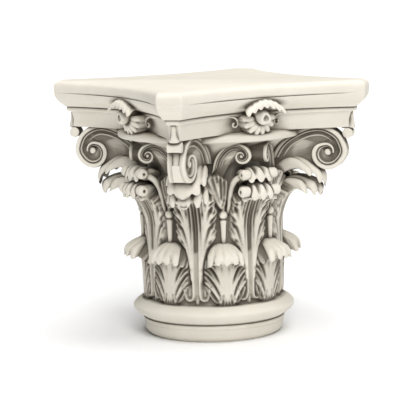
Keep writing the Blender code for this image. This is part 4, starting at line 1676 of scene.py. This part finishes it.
@dataclass
class Studio:
    """Paper floor, soft lights and the photograph's camera."""

    turn: float = math.radians(-31.11)
    lift: float = math.radians(8.05)
    roll: float = math.radians(-1.265)
    distance: float = 3.652
    focal_pixels: float = 2000.0
    picture_pixels: float = 416.0
    sensor_mm: float = 36.0
    side_shift: float = -0.0072
    aim_height: float = 0.2255
    floor_half: float = 80.0
    sky_strength: float = 0.06

    def axes(self) -> tuple[Vector, Vector, Vector]:
        """Right, up and back axes of the camera before its roll.

        Returns:
            The three axes.
        """
        back = Vector((math.sin(self.turn) * math.cos(self.lift),
                       -math.cos(self.turn) * math.cos(self.lift), math.sin(self.lift)))
        right = Vector((math.cos(self.turn), math.sin(self.turn), 0.0))
        return right, back.cross(right), back

    def camera(self) -> None:
        """Stands the camera where the photograph was taken."""
        right, up, back = self.axes()
        rolled_right = right * math.cos(self.roll) + up * math.sin(self.roll)
        rolled_up = up * math.cos(self.roll) - right * math.sin(self.roll)
        data = bpy.data.cameras.new("camera")
        data.sensor_width = self.sensor_mm
        data.lens = self.focal_pixels / self.picture_pixels * self.sensor_mm
        data.clip_start, data.clip_end = 0.1, 400.0
        camera = bpy.data.objects.new("camera", data)
        place = right * self.side_shift + Vector((0, 0, self.aim_height)) + back * self.distance
        turned = Matrix((rolled_right, rolled_up, back)).transposed().to_4x4()
        camera.matrix_world = Matrix.Translation(place) @ turned
        bpy.context.scene.collection.objects.link(camera)
        bpy.context.scene.camera = camera

    def light(self, name: str, heading: float, lift: float, spread: float, strength: float) -> None:
        """Adds an even, soft-edged light from far away.

        Args:
            name: the light's name.
            heading: compass direction that it comes from.
            lift: its height above the horizon, as an angle.
            spread: how wide the source looks, which softens its shadows.
            strength: its power.
        """
        data = bpy.data.lights.new(name, "SUN")
        data.energy, data.angle = strength, spread
        lamp = bpy.data.objects.new(name, data)
        toward = Vector((math.cos(lift) * math.cos(heading), math.cos(lift) * math.sin(heading),
                         math.sin(lift)))
        lamp.rotation_mode = "QUATERNION"
        lamp.rotation_quaternion = toward.to_track_quat("Z", "Y")
        bpy.context.scene.collection.objects.link(lamp)

    def build(self) -> None:
        """Lays the floor, hangs the lights and stands the camera."""
        self.camera()
        mesh = bpy.data.meshes.new("floor")
        size = self.floor_half
        corners = [(-size, -size, 0), (size, -size, 0), (size, size, 0), (-size, size, 0)]
        mesh.from_pydata(corners, [], [(0, 1, 2, 3)])
        floor = bpy.data.objects.new("floor", mesh)
        mesh.materials.append(StudioFloor().build())
        bpy.context.scene.collection.objects.link(floor)
        for name, heading, lift, spread, strength in STUDIO_LIGHTS:
            self.light(name, math.radians(heading), math.radians(lift), math.radians(spread),
                       strength)
        world = bpy.data.worlds.new("studio")
        world.use_nodes = True
        ground = world.node_tree.nodes["Background"]
        ground.inputs["Color"].default_value = (1.0, 1.0, 1.0, 1.0)
        ground.inputs["Strength"].default_value = self.sky_strength
        bpy.context.scene.world = world
        bpy.context.scene.view_settings.view_transform = "Standard"


def main() -> None:
    """Builds the capital piece by piece, then the studio round it."""
    workshop = Workshop(CastStone().build())
    foliage = Foliage()
    workshop.carvings += [TurnedBody().carve(), Slab().carve(), *foliage.lower_leaves(),
                          foliage.face_leaves(), foliage.corner_leaves(), foliage.inner_leaves(),
                          foliage.brace_leaves(), *foliage.cups(), CornerScroll().carve(),
                          InnerScrolls().carve(), Stalks().carve(), Flower().carve(),
                          CornerDrop().carve()]
    workshop.finish()
    Studio().build()


if __name__ == "__main__":
    main()
